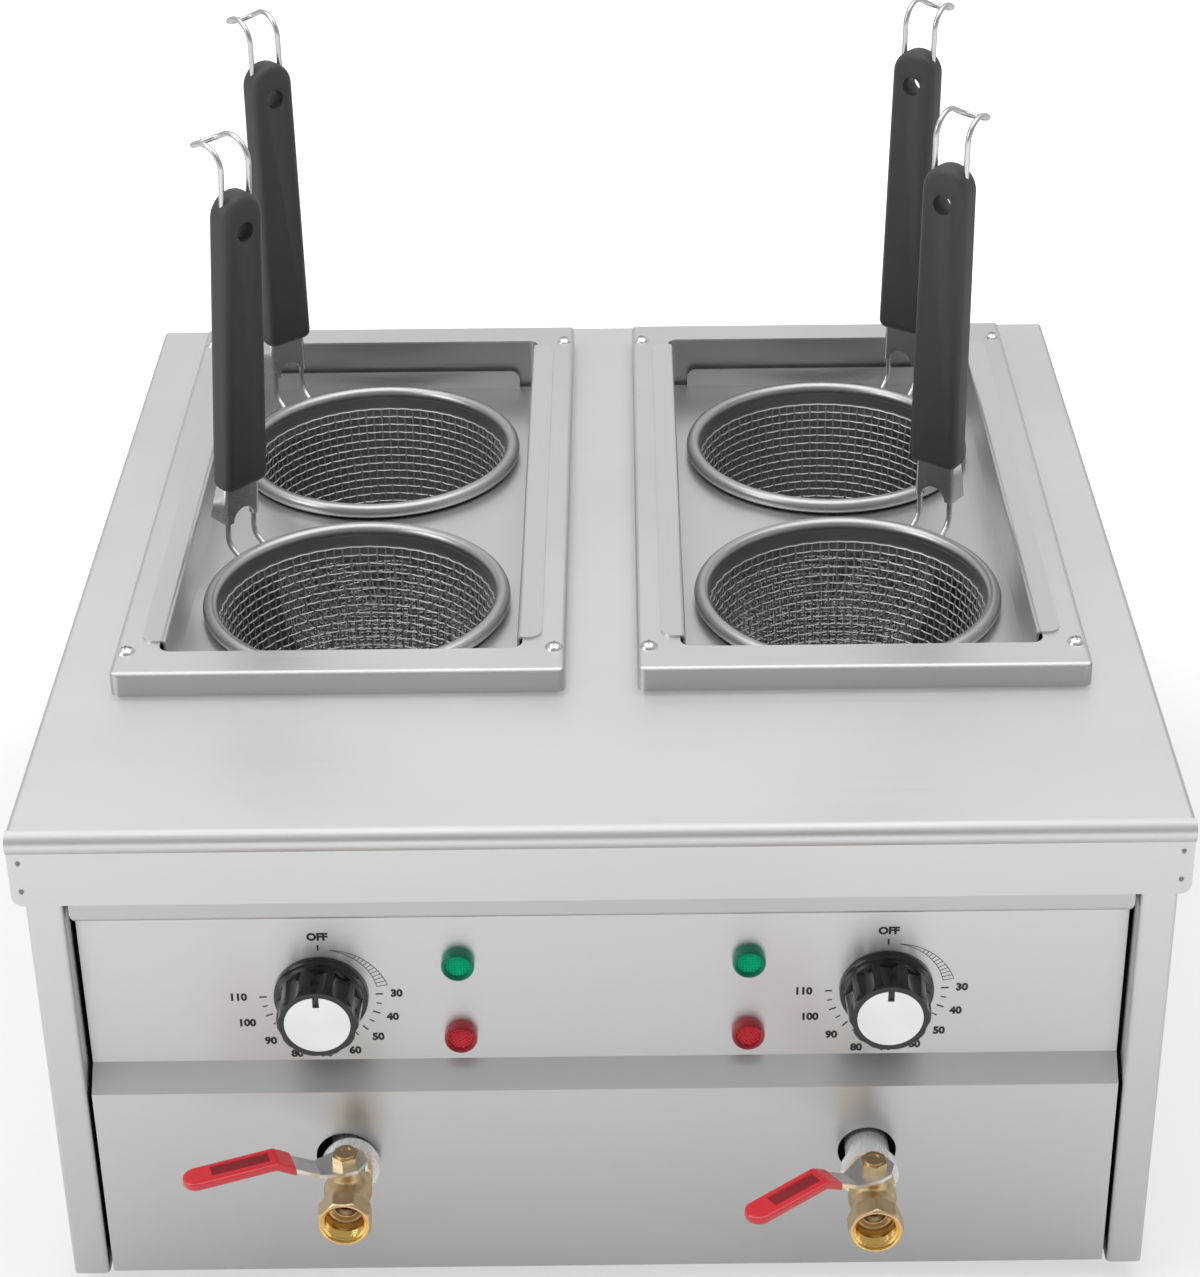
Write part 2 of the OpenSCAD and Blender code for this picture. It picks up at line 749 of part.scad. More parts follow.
module thermostats() {
    tag = [6, 9, 0.8];
    tag_x = 12;
    tag_z = -16;
    socket_l = shaft_in + 2;
    color("ivory") for (s = sides)
        translate([s * knob_x, control_y + sheet, foot_h + knob_z]) difference() {
            union() {
                translate([-thermostat_size.x / 2, 0, -thermostat_size.z / 2]) cube(thermostat_size);
                rotate([90, 0, 0]) cylinder(h = sheet + bushing_out, d = bushing_d);
                for (x = [-1, 1])
                    translate([x * tag_x - tag.x / 2, thermostat_size.y, tag_z]) cube(tag);
            }
            translate([0, socket_l, 0]) rotate([90, 0, 0])
                cylinder(h = socket_l + sheet + bushing_out + cut, d = shaft_d + 2 * run_fit);
        }
}

module terminal_block() {
    block = [90, 24, 20];
    gap = [40, 10];
    low = [gland_x - gap.x - block.x, rear_y - gap.y - block.y, foot_h + 2 * sheet];
    ways = 5;
    well_d = 8;
    well_depth = 6;
    color("ivory") difference() {
        translate(low) cube(block);
        for (k = [0:ways - 1])
            translate([low.x + block.x * (k + 0.5) / ways, low.y + block.y / 2, low.z + block.z - well_depth])
                cylinder(h = well_depth + cut, d = well_d);
    }
}

module cable_gland() {
    nut_l = 6;
    lock_l = 5;
    thread_l = 10;
    color("dimgray") translate([gland_x, rear_y + sheet, gland_z]) rotate([-90, 0, 0]) difference() {
        union() {
            cylinder(h = nut_l, d = gland_thread + 8, $fn = 6);
            translate([0, 0, nut_l])
                cylinder(h = gland_l - nut_l, d1 = gland_thread + 3, d2 = gland_thread - 1);
            translate([0, 0, -thread_l]) cylinder(h = thread_l, d = gland_thread);
            translate([0, 0, -sheet - lock_l]) cylinder(h = lock_l, d = gland_thread + 6, $fn = 6);
        }
        translate([0, 0, -thread_l - cut]) cylinder(h = gland_l + thread_l + 2 * cut, d = gland_bore);
    }
}

// Controls

// Places children on the control panel, with +Z towards the viewer and +Y up
module on_panel(x, z) {
    translate([x, control_y, foot_h + z]) rotate([90, 0, 0]) children();
}

module lamp(x, z) {
    edge = 1.5;
    barrel_l = 22;
    on_panel(x, z) {
        cylinder(h = lamp_h - edge, d = lamp_d);
        translate([0, 0, lamp_h - edge]) cylinder(h = edge, d1 = lamp_d, d2 = lamp_d - 3 * edge);
        translate([0, 0, -barrel_l]) cylinder(h = barrel_l, d = lamp_body_d);
    }
}

module power_lamps() {
    color("seagreen") for (s = sides)
        lamp(s * lamp_x, lamp_z + lamp_pitch / 2);
}

module heat_lamps() {
    color("crimson") for (s = sides)
        lamp(s * lamp_x, lamp_z - lamp_pitch / 2);
}

module knob(s) {
    r = knob_d / 2;
    foot_r = r - 2.8;
    head_r = r - 3.8;
    flute_r = 4.2;
    flute_depth = 1.6;
    skirt_t = 3;
    well = 5;
    color("black") on_panel(s * knob_x, knob_z) difference() {
        rotate_extrude() polygon([
            [0, knob_gap], [r, knob_gap], [r, knob_gap + skirt_t / 2], [r - 1.2, knob_gap + skirt_t],
            [foot_r, knob_gap + skirt_t], [head_r, knob_h - flute_depth], [head_r - 1.4, knob_h],
            [0, knob_h]]);
        for (k = [0:knob_flutes - 1])
            rotate((k + 0.5) * 360 / knob_flutes)
                translate([head_r + flute_r - flute_depth, 0, knob_gap + well])
                    cylinder(h = knob_h, r = flute_r);
        translate([0, 0, knob_h - cap_t]) cylinder(h = cap_t + cut, d = cap_d + 2 * slip);
        translate([0, 0, knob_gap - cut]) cylinder(h = well + cut, d = bushing_d + 6);
        translate([0, 0, knob_gap]) cylinder(h = knob_h - shaft_short, d = shaft_d + 2 * run_fit);
    }
}

module knob_cap(s) {
    notch_w = 3;
    notch_l = 5.6;
    color("whitesmoke") on_panel(s * knob_x, knob_z) difference() {
        translate([0, 0, knob_h - cap_t]) cylinder(h = cap_t, d = cap_d);
        slab([-notch_w / 2, cap_d / 2 - notch_l, 0], [notch_w / 2, cap_d, knob_h + cut]);
    }
}

module thermostat_shaft(s) {
    flat = shaft_d / 4;
    color("silver") on_panel(s * knob_x, knob_z) difference() {
        translate([0, 0, -sheet - shaft_in])
            cylinder(h = sheet + shaft_in + knob_h - shaft_short, d = shaft_d);
        slab([-shaft_d, flat, shaft_flat_z], [shaft_d, shaft_d, knob_h]);
    }
}

// Drains

module drain_pipes() {
    collar_l = 5.5;
    thread_pitch = 1.5;
    thread_depth = 0.9;
    thread_r = socket_d / 2 - 1.5;
    turns = 2;
    socket_l = collar_l + turns * thread_pitch;
    color("gainsboro") for (i = [0, 1]) {
        face = valve_l - valve_out[i];
        translate([drain_at(i), apron_y, drain_z]) rotate([-90, 0, 0]) difference() {
            union() {
                translate([0, 0, face + spigot_l])
                    cylinder(h = tank_back - open_l / 2 - face - spigot_l, d = pipe_d);
                translate([0, 0, face]) rotate_extrude() polygon(concat(
                    [[0, 0], [socket_d / 2, 0], [socket_d / 2, collar_l]],
                    [for (k = [0:turns - 1], p = [[0, 0.1], [1, 0.4], [1, 0.6], [0, 0.9]])
                        [thread_r - p.x * thread_depth, collar_l + (k + p.y) * thread_pitch]],
                    [[thread_r, socket_l], [0, socket_l]]));
            }
            translate([0, 0, face - cut]) cylinder(h = tank_back, d = pipe_bore);
            translate([0, 0, face - cut]) cylinder(h = spigot_l + slip + cut, d = spigot_d + 2 * slip);
        }
    }
}

// Places children at the valve's mouth, with +Z along the pipe towards the tank
module at_mouth(i) {
    translate([drain_at(i), apron_y - valve_out[i], drain_z]) rotate([-90, 0, 0]) children();
}

// Places children where the stem's axis meets the pipe's axis
module at_seat(i) {
    translate([drain_at(i), apron_y - valve_out[i] + stem_back, drain_z]) children();
}

// Turns what is at the seat so that +X points along the lever
module at_stem(i) {
    at_seat(i) rotate(180 + lever_open[i]) children();
}

// Forged body: eight-sided ends, a round shell for the ball between them and a boss for the stem
module valve_body(i) {
    half_side = 22.5;
    flat_turn = i == 0 ? half_side : 0;
    end_r = valve_flats / 2 / cos(half_side);
    end_l = 13;
    rear_l = 6;
    chamfer = 1.6;
    face_in = 0.4;
    neck_r = valve_flats / 2 - 2.3;
    boss_d = stem_d + 8;
    color("darkgoldenrod") difference() {
        union() {
            at_mouth(i) rotate(flat_turn) {
                intersection() {
                    cylinder(h = end_l, r = end_r, $fn = 8);
                    rotate_extrude() polygon([
                        [0, 0], [valve_flats / 2 - face_in, 0], [end_r + slip, chamfer],
                        [end_r + slip, end_l - 2 * chamfer], [neck_r, end_l], [0, end_l]]);
                }
                translate([0, 0, end_l - cut]) cylinder(h = valve_l - rear_l - end_l + 2 * cut, r = neck_r);
                translate([0, 0, stem_back]) sphere(shell_r);
                translate([0, 0, valve_l - rear_l]) cylinder(h = rear_l, r = shell_r, $fn = 8);
                translate([0, 0, valve_l - cut]) cylinder(h = spigot_l + cut, d = spigot_d);
            }
            at_seat(i) cylinder(h = stem_top, d = boss_d);
        }
        at_mouth(i) rotate(flat_turn) {
            rotate_extrude() polygon([
                [0, -cut], [mouth_bore / 2 + mouth_entry + cut, -cut], [mouth_bore / 2, mouth_entry],
                [mouth_bore / 2, mouth_entry + mouth_l], [0, mouth_entry + mouth_l]]);
            cylinder(h = valve_l + spigot_l + cut, d = ball_bore);
            translate([0, 0, stem_back]) sphere(d = ball_d + 2 * seat_gap);
        }
        at_seat(i) cylinder(h = stem_top + cut, d = stem_d + 2 * run_fit);
    }
}

// Flat at the top of the ball where the stem's tongue sits
tongue_t = 3;
tongue_z = ball_d / 2 - 2.6;

module valve_ball(i) {
    color("silver") at_stem(i) difference() {
        sphere(d = ball_d);
        rotate([0, 90, 0]) cylinder(h = 2 * ball_d, d = ball_bore, center = true);
        slab([-ball_d, -tongue_t / 2 - slip, tongue_z], [ball_d, tongue_t / 2 + slip, ball_d]);
    }
}

// Stem with its locking nut, which clamps the lever
module valve_stem(i) {
    lever_z = stem_top + seat_gap;
    nut_d = 13;
    lock_h = 1.2;
    color("darkgoldenrod") at_stem(i) {
        union() {
            intersection() {
                slab([-stem_d, -tongue_t / 2, tongue_z + slip], [stem_d, tongue_t / 2, ball_d / 2 + slip]);
                cylinder(h = ball_d, d = stem_d);
            }
            translate([0, 0, ball_d / 2])
                cylinder(h = lever_z + lever_t + nut_h + lock_h / 2 - ball_d / 2, d = stem_d);
        }
        translate([0, 0, lever_z + lever_t]) difference() {
            union() {
                cylinder(h = nut_h, d = nut_d, $fn = 6);
                cylinder(h = nut_h + lock_h, d = nut_d - 3.4);
            }
            translate([0, 0, -cut]) cylinder(h = nut_h + lock_h + 2 * cut, d = stem_d + 2 * run_fit);
        }
    }
}

// Side view of the cranked lever, between two distances above its underside
module crank(low, high, x0, x1) {
    polygon([
        [x0, low], [lever_flat - low * lever_mitre, low],
        [lever_flat + lever_ramp - low * lever_mitre, lever_rise + low], [x1, lever_rise + low],
        [x1, lever_rise + high], [lever_flat + lever_ramp - high * lever_mitre, lever_rise + high],
        [lever_flat - high * lever_mitre, high], [x0, high]]);
}

// Crank drawn out to a width, with a lozenge round the stem and a round tip
module cranked_bar(low, high, w, tip) {
    plate_w = 1.65 * lever_w;
    knee = lever_tail / 3;
    intersection() {
        rotate([90, 0, 0]) linear_extrude(2 * plate_w, center = true) crank(low, high, -lever_tail, tip);
        translate([0, 0, -lever_l]) linear_extrude(2 * lever_l) {
            polygon([
                [-lever_tail, -tail_w / 2], [-knee, -plate_w / 2], [knee, -plate_w / 2], [lever_flat, -w / 2],
                [lever_flat, w / 2], [knee, plate_w / 2], [-knee, plate_w / 2], [-lever_tail, tail_w / 2]]);
            translate([0, -w / 2]) square([tip - w / 2, w]);
            translate([tip - w / 2, 0]) circle(d = w);
        }
    }
}

module lever(i) {
    tab_t = 1.5;
    tab_drop = stem_top - shell_r;
    color("silver") at_stem(i) translate([0, 0, stem_top + seat_gap]) difference() {
        union() {
            cranked_bar(0, lever_t, lever_w, lever_l);
            slab([-lever_tail, -tail_w / 2, -tab_drop], [tab_t - lever_tail, tail_w / 2, lever_t]);
        }
        translate([0, 0, -cut]) cylinder(h = lever_t + 2 * cut, d = stem_d + 2 * run_fit);
    }
}

module lever_sleeve(i) {
    start = lever_flat + 0.54 * lever_ramp;
    color("red") at_stem(i) translate([0, 0, stem_top + seat_gap]) difference() {
        intersection() {
            cranked_bar(-sleeve_t, lever_t + sleeve_t, sleeve_w, lever_l + sleeve_t);
            slab([start, -lever_l, -lever_l], [2 * lever_l, lever_l, lever_l]);
        }
        cranked_bar(-run_fit, lever_t + run_fit, lever_w + 2 * run_fit, lever_l + run_fit);
    }
}

// Racks and baskets

module rack(s) {
    w = 2 * (rack_half_w + sheet);
    l = 2 * rack_half_l;
    tab_w = w - 20;
    tab_r = 5;
    color("gainsboro") translate([s * tank_x, tank_y, 0]) difference() {
        union() {
            slab([-w / 2, -l / 2, rack_z - sheet], [w / 2, l / 2, rack_z]);
            for (x = [0, 1])
                mirror([x, 0, 0]) intersection() {
                    translate([w / 2 - sheet, 0, frame_top + sheet])
                        along_y(-rack_l / 2, rack_l) fold(rack_flange + sheet, rack_drop + 2 * sheet, sheet);
                    translate([w / 2 - sheet, 0, rack_z - sheet])
                        linear_extrude(rack_drop + 3 * sheet) flange();
                }
            for (y = [-1, 1])
                translate([0, y * (l / 2 - sheet / 2) - sheet / 2, rack_z])
                    mirror([0, 0, 1]) along_y(0, sheet) hanging_strip(tab_w, rack_fold, tab_r);
        }
        for (y = [-1, 1])
            translate([0, y * basket_pitch / 2, rack_z - sheet - cut])
                cylinder(h = sheet + 2 * cut, r = hole_r);
    }
}

// Plan of the rack's wall and flange, with round outer corners
module flange() {
    r = 7;
    out = rack_flange + sheet;
    translate([0, -rack_l / 2]) square([out - r, rack_l]);
    translate([0, -rack_l / 2 + r]) square([out, rack_l - 2 * r]);
    for (y = [-1, 1])
        translate([out - r, y * (rack_l / 2 - r)]) circle(r);
}

// Places children at the middle of a basket, at the height of its bead
module at_basket(i) {
    translate([basket_side(i) * tank_x, basket_y(i), bead_z]) children();
}

module basket_rim(i) {
    color("gainsboro") at_basket(i) rotate_extrude() {
        translate([rim_r - bead_d / 2, 0]) circle(d = bead_d);
        translate([band_r - band_t, -band_h]) square([band_t, band_h]);
    }
}

// Revolved shell with rows of gaps cut through its wall and a grid of gaps in its floor
module basket_mesh(i) {
    top = -band_h - 1;
    row_h = (top - tangent_z) / mesh_rows;
    floor_pitch = 14;
    floor_reach = corner_r0;
    color("silver") at_basket(i) difference() {
        rotate_extrude() polygon(concat(mesh_side(0), reversed(mesh_side(mesh_t))));
        for (row = [0:mesh_rows - 1]) {
            z = top - row_h * (row + 0.5);
            gap_w = 2 * wall_r(z - row_h / 2) * sin(180 / mesh_columns) - mesh_bar;
            for (k = [0:mesh_columns - 1])
                rotate((k + 0.5 * (row % 2)) * 360 / mesh_columns)
                    translate([wall_r(z), 0, z]) rotate([0, basket_taper, 0])
                        cube([6 * mesh_t, gap_w, row_h - mesh_bar], center = true);
        }
        for (x = [-4:4], y = [-4:4])
            if (norm([x, y]) * floor_pitch < floor_reach - floor_pitch / 2)
                translate([x * floor_pitch, y * floor_pitch, -basket_depth])
                    cube([floor_pitch - mesh_bar, floor_pitch - mesh_bar, 6 * mesh_t], center = true);
    }
}

// Places children at the bend of a handle's wires: +X away from the basket, +Z up the handle
module at_handle(i) {
    at_basket(i) rotate(handle_angles[i]) translate([leg_r, 0, leg_rise])
        rotate([0, -handle_leans[i], 0]) children();
}

// Two wires from the rim up through the grip, joined by a bow that hooks outwards
module handle_wire(i) {
    knuckle_d = wire_d + 0.3;
    short = 0.4;
    short_turn = 2;
    rise = [leg_out - slip, 0, leg_rise];
    slope = atan2(rise.z, rise.x) - handle_leans[i];
    out = [cos(slope), 0, sin(slope)];
    leg_h = grip_low + grip_l + hook_rise;
    end = [hook_r * (1 - cos(hook_sweep)), 0, leg_h + hook_r * sin(hook_sweep)];
    color("gainsboro") at_handle(i) union() {
        for (y = [-1, 1])
            translate([0, y * wire_gap / 2, 0]) {
                rod(-norm(rise) * out, -short * out, wire_d);
                sphere(d = knuckle_d);
                translate([0, 0, short]) cylinder(h = leg_h - 2 * short, d = wire_d);
                translate([0, 0, leg_h]) sphere(d = knuckle_d);
                translate([hook_r, 0, leg_h]) rotate([90, 0, 0]) rotate(180 - hook_sweep + short_turn)
                    rotate_extrude(angle = hook_sweep - 2 * short_turn)
                        translate([hook_r, 0]) circle(d = wire_d);
                translate(end) sphere(d = knuckle_d);
            }
        translate(end) rotate([0, hook_sweep - 90, 0]) rotate(-90) half_turn(wire_gap / 2, wire_d);
    }
}

// Folded clip round the two wires, with an arched foot and two side flanges
module handle_clip(i) {
    tube_d = wire_d + 2 * run_fit + 2 * clip_t;
    low = grip_low - clip_h;
    arch_r = wire_gap / 2 - 2;
    color("silver") at_handle(i) difference() {
        union() {
            slab([-tube_d / 2, -wire_gap / 2, low], [clip_t - tube_d / 2, wire_gap / 2, grip_low]);
            for (y = [-1, 1]) {
                translate([0, y * wire_gap / 2, low]) cylinder(h = clip_h, d = tube_d);
                translate([0, y * (wire_gap / 2 + tube_d / 2 - clip_t / 2) + clip_t / 2, low])
                    rotate([90, 0, 0]) linear_extrude(clip_t)
                        polygon([[0, 0], [clip_out, 0], [clip_out - 5, clip_h], [0, clip_h]]);
            }
        }
        for (y = [-1, 1])
            translate([0, y * wire_gap / 2, low - cut])
                cylinder(h = clip_h + 2 * cut, d = wire_d + 2 * run_fit);
        translate([-tube_d, 0, low]) rotate([0, 90, 0]) cylinder(h = tube_d, r = arch_r);
    }
}

// Moulded grip: tapered from below to a round head, with the wires' bores and a hole for hanging
module grip(i) {
    head = grip_top_w / 2;
    color([0.16, 0.16, 0.17]) at_handle(i) translate([0, 0, grip_low]) difference() {
        intersection() {
            linear_extrude(grip_l) round_rect(grip_t, grip_w, grip_round);
            rotate([90, 0, 90]) linear_extrude(2 * grip_t, center = true) {
                polygon([[-grip_w / 2, 0], [grip_w / 2, 0], [head, grip_l - head], [-head, grip_l - head]]);
                translate([0, grip_l - head]) circle(head);
            }
        }
        for (y = [-1, 1])
            translate([0, y * wire_gap / 2, -cut]) cylinder(h = grip_l + 2 * cut, d = wire_d + 2 * run_fit);
        translate([0, 0, grip_l - hang_drop])
            rotate([0, 90, 0]) cylinder(h = 2 * grip_t, d = hang_d, center = true);
    }
}

top_plate();
side_panel(-1);  // left_side_panel
side_panel(1);  // right_side_panel
back_panel();
base_plate();
front_panel();
front_rail();
rubber_feet();
tank(-1);  // tank_left
tank(1);  // tank_right
tank_frame(-1);  // tank_frame_left
tank_frame(1);  // tank_frame_right
frame_screws();
heating_elements();
thermostats();
sensor_bulbs();
power_lamps();
heat_lamps();
drain_pipes();
valve_body(0);  // valve_body_left
valve_body(1);  // valve_body_right
terminal_block();
cable_gland();
panel_screws();
knob(-1);  // knob_left
knob(1);  // knob_right
knob_cap(-1);  // knob_cap_left
knob_cap(1);  // knob_cap_right
thermostat_shaft(-1);  // thermostat_shaft_left
thermostat_shaft(1);  // thermostat_shaft_right
valve_ball(0);  // valve_ball_left
valve_ball(1);  // valve_ball_right
valve_stem(0);  // valve_stem_left
valve_stem(1);  // valve_stem_right
lever(0);  // lever_left
lever(1);  // lever_right
lever_sleeve(0);  // lever_sleeve_left
lever_sleeve(1);  // lever_sleeve_right
rack(-1);  // rack_left
rack(1);  // rack_right
basket_rim(0);  // basket_rim_front_left
basket_rim(1);  // basket_rim_rear_left
basket_rim(2);  // basket_rim_front_right
basket_rim(3);  // basket_rim_rear_right
basket_mesh(0);  // basket_mesh_front_left
basket_mesh(1);  // basket_mesh_rear_left
basket_mesh(2);  // basket_mesh_front_right
basket_mesh(3);  // basket_mesh_rear_right
handle_wire(0);  // handle_wire_front_left
handle_wire(1);  // handle_wire_rear_left
handle_wire(2);  // handle_wire_front_right
handle_wire(3);  // handle_wire_rear_right
handle_clip(0);  // handle_clip_front_left
handle_clip(1);  // handle_clip_rear_left
handle_clip(2);  // handle_clip_front_right
handle_clip(3);  // handle_clip_rear_right
grip(0);  // grip_front_left
grip(1);  // grip_rear_left
grip(2);  // grip_front_right
grip(3);  // grip_rear_right
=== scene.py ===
import math

import bpy
from mathutils import Matrix, Vector


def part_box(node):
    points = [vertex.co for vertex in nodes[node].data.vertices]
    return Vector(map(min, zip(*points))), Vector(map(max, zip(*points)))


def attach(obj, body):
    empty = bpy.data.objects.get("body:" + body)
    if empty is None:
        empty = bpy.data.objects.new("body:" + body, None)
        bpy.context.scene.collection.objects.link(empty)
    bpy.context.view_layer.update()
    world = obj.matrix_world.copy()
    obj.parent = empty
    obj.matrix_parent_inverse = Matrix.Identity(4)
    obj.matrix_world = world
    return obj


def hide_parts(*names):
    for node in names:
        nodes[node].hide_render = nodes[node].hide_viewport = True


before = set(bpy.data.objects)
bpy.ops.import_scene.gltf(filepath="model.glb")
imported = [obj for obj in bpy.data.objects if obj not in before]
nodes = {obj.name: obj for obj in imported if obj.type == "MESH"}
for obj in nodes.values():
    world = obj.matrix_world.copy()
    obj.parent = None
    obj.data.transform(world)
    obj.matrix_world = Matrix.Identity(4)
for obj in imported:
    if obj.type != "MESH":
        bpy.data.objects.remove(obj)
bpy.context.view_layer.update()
MM = 0.001

# Studio
# A white paper floor under soft light, seen from in front and above as the photographer stood.
# The light comes from a wide soft box overhead, from the pale room and from the paper itself, whose glow is
# painted light, weaker near the object as painted shade.
front_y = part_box("top_plate")[0].y
eye = Vector((0.013149, front_y - 1.092616, 1.011163))
pitch = math.radians(29.6136)
yaw = math.radians(0.2333)
roll = math.radians(-0.4978)
level = Vector((math.cos(yaw), -math.sin(yaw), 0))
ahead = Vector((math.sin(yaw) * math.cos(pitch), math.cos(yaw) * math.cos(pitch), -math.sin(pitch)))
upright = level.cross(ahead)
across = math.cos(roll) * level + math.sin(roll) * upright
upward = math.cos(roll) * upright - math.sin(roll) * level

scene = bpy.context.scene
scene.view_settings.view_transform = "Standard"
lens = bpy.data.cameras.new("camera")
lens.lens = 82.081
lens.sensor_width = 36
lens.shift_x = -0.02976
lens.shift_y = -0.02136
camera = bpy.data.objects.new("camera", lens)
camera.matrix_world = Matrix.LocRotScale(
    eye, Matrix((across, upward, -ahead)).transposed().to_quaternion(), None)
scene.collection.objects.link(camera)
scene.camera = camera


def nodes_of(material):
    """Empties a material and gives its node tree with a fresh output and Principled shader."""
    material.use_nodes = True
    tree = material.node_tree
    tree.nodes.clear()
    shader = tree.nodes.new("ShaderNodeBsdfPrincipled")
    output = tree.nodes.new("ShaderNodeOutputMaterial")
    tree.links.new(shader.outputs[0], output.inputs["Surface"])
    return tree, shader


def add(tree, kind, **settings):
    """Adds a node and sets its properties."""
    node = tree.nodes.new("ShaderNode" + kind)
    for name, value in settings.items():
        setattr(node, name, value)
    return node


def ramp(tree, low, high, start, end):
    """Adds a node that maps one span of values to another."""
    node = add(tree, "MapRange")
    for name, value in (("From Min", low), ("From Max", high), ("To Min", start), ("To Max", end)):
        node.inputs[name].default_value = value
    return node


bpy.ops.object.select_all(action="DESELECT")
bpy.ops.mesh.primitive_plane_add(size=30)
floor = bpy.context.object
floor.name = "paper_floor"
paper = bpy.data.materials.new("white_paper")
tree, shader = nodes_of(paper)
shader.inputs["Base Color"].default_value = (0.86, 0.86, 0.86, 1)
shader.inputs["Roughness"].default_value = 0.9
shader.inputs["Specular IOR Level"].default_value = 0.1
# Painted light and shade: the paper's glow grows with distance from the object, and in glossy rays it is
# weakest just in front of it, as painted shade in reflections.
glow = add(tree, "Emission")
place = add(tree, "TexCoord")
parts = add(tree, "SeparateXYZ")
pool = ramp(tree, -0.4, -0.75, 0.05, 0.7)
tree.links.new(place.outputs["Object"], parts.inputs[0])
tree.links.new(parts.outputs["Y"], pool.inputs["Value"])
reach = add(tree, "VectorMath", operation="LENGTH")
spread = ramp(tree, 0.45, 1.0, 1.0, 1.9)
tree.links.new(place.outputs["Object"], reach.inputs[0])
tree.links.new(reach.outputs["Value"], spread.inputs["Value"])
tree.links.new(spread.outputs[0], glow.inputs["Strength"])
path = add(tree, "LightPath")
shares = []
for ray in ("Is Camera Ray", "Is Glossy Ray", "Is Transmission Ray"):
    part = add(tree, "Math", operation="MULTIPLY")
    part.inputs[1].default_value = 0.6
    tree.links.new(path.outputs[ray], part.inputs[0])
    shares.append(part)
tree.links.new(pool.outputs[0], shares[1].inputs[1])
clear = add(tree, "Math", operation="MAXIMUM")
seen = add(tree, "Math", operation="MAXIMUM")
blend = add(tree, "MixShader")
tree.links.new(shares[0].outputs[0], clear.inputs[0])
tree.links.new(shares[2].outputs[0], clear.inputs[1])
tree.links.new(clear.outputs[0], seen.inputs[0])
tree.links.new(shares[1].outputs[0], seen.inputs[1])
tree.links.new(seen.outputs[0], blend.inputs[0])
tree.links.new(shader.outputs[0], blend.inputs[1])
tree.links.new(glow.outputs[0], blend.inputs[2])
tree.links.new(blend.outputs[0], tree.nodes["Material Output"].inputs["Surface"])
floor.data.materials.append(paper)

world = bpy.data.worlds.new("pale_room")
scene.world = world
world.use_nodes = True
tree = world.node_tree
tree.nodes.clear()
direction = add(tree, "TexCoord")
parts = add(tree, "SeparateXYZ")
depth = ramp(tree, -0.8, 0.7, 0.44, 0.95)
room = add(tree, "Background")
white = add(tree, "Background")
white.inputs["Color"].default_value = (1, 1, 1, 1)
path = add(tree, "LightPath")
blend = add(tree, "MixShader")
output = add(tree, "OutputWorld")
tree.links.new(direction.outputs["Generated"], parts.inputs[0])
tree.links.new(parts.outputs["Y"], depth.inputs["Value"])
tree.links.new(depth.outputs[0], room.inputs["Strength"])
tree.links.new(path.outputs["Is Camera Ray"], blend.inputs[0])
tree.links.new(room.outputs[0], blend.inputs[1])
tree.links.new(white.outputs[0], blend.inputs[2])
tree.links.new(blend.outputs[0], output.inputs["Surface"])


def soft_box(name, place, aim, size, power):
    """Hangs a rectangular lamp at a place and turns it to face a point."""
    lamp = bpy.data.lights.new(name, "AREA")
    lamp.shape = "RECTANGLE"
    lamp.size, lamp.size_y = size
    lamp.energy = power
    holder = bpy.data.objects.new(name, lamp)
    holder.location = place
    holder.rotation_euler = (Vector(aim) - Vector(place)).to_track_quat("-Z", "Y").to_euler()
    scene.collection.objects.link(holder)


soft_box("overhead_box", (0.0, 0.1, 2.6), (0, 0, 0.2), (3.4, 2.2), 38)
soft_box("left_box", (-2.2, -1.0, 1.8), (0, 0, 0.25), (1.2, 1.2), 16)

# Base plate and feet
# The base is a folded steel tray with vents, and four black rubber feet are screwed under it.
# It is the same brushed sheet as the rest of the body, so the brushed finish starts here.
brushing = bpy.data.node_groups.new("brushing", "ShaderNodeTree")
for name, kind in (("Vector", "NodeSocketVector"), ("Stretch", "NodeSocketVector"),
                   ("Light", "NodeSocketColor"), ("Dark", "NodeSocketColor"),
                   ("Least Roughness", "NodeSocketFloat"), ("Most Roughness", "NodeSocketFloat")):
    brushing.interface.new_socket(name, in_out="INPUT", socket_type=kind)
for name, kind in (("Color", "NodeSocketColor"), ("Roughness", "NodeSocketFloat"),
                   ("Height", "NodeSocketFloat")):
    brushing.interface.new_socket(name, in_out="OUTPUT", socket_type=kind)
given = brushing.nodes.new("NodeGroupInput")
result = brushing.nodes.new("NodeGroupOutput")
stretched = add(brushing, "VectorMath", operation="MULTIPLY")
grain = add(brushing, "TexNoise")
grain.inputs["Scale"].default_value = 1.0
grain.inputs["Detail"].default_value = 4.0
grain.inputs["Roughness"].default_value = 0.6
cloud = add(brushing, "TexNoise")
cloud.inputs["Scale"].default_value = 7.0
cloud.inputs["Detail"].default_value = 3.0
both = add(brushing, "Mix", data_type="FLOAT")
both.inputs[0].default_value = 0.45
tone = add(brushing, "Mix", data_type="RGBA")
rough = ramp(brushing, 0.3, 0.7, 0.0, 1.0)
brushing.links.new(given.outputs["Vector"], stretched.inputs[0])
brushing.links.new(given.outputs["Stretch"], stretched.inputs[1])
brushing.links.new(stretched.outputs[0], grain.inputs["Vector"])
brushing.links.new(given.outputs["Vector"], cloud.inputs["Vector"])
brushing.links.new(grain.outputs["Fac"], both.inputs[2])
brushing.links.new(cloud.outputs["Fac"], both.inputs[3])
brushing.links.new(both.outputs[0], tone.inputs[0])
brushing.links.new(given.outputs["Dark"], tone.inputs[6])
brushing.links.new(given.outputs["Light"], tone.inputs[7])
brushing.links.new(both.outputs[0], rough.inputs["Value"])
brushing.links.new(given.outputs["Least Roughness"], rough.inputs["To Min"])
brushing.links.new(given.outputs["Most Roughness"], rough.inputs["To Max"])
brushing.links.new(tone.outputs[2], result.inputs["Color"])
brushing.links.new(rough.outputs[0], result.inputs["Roughness"])
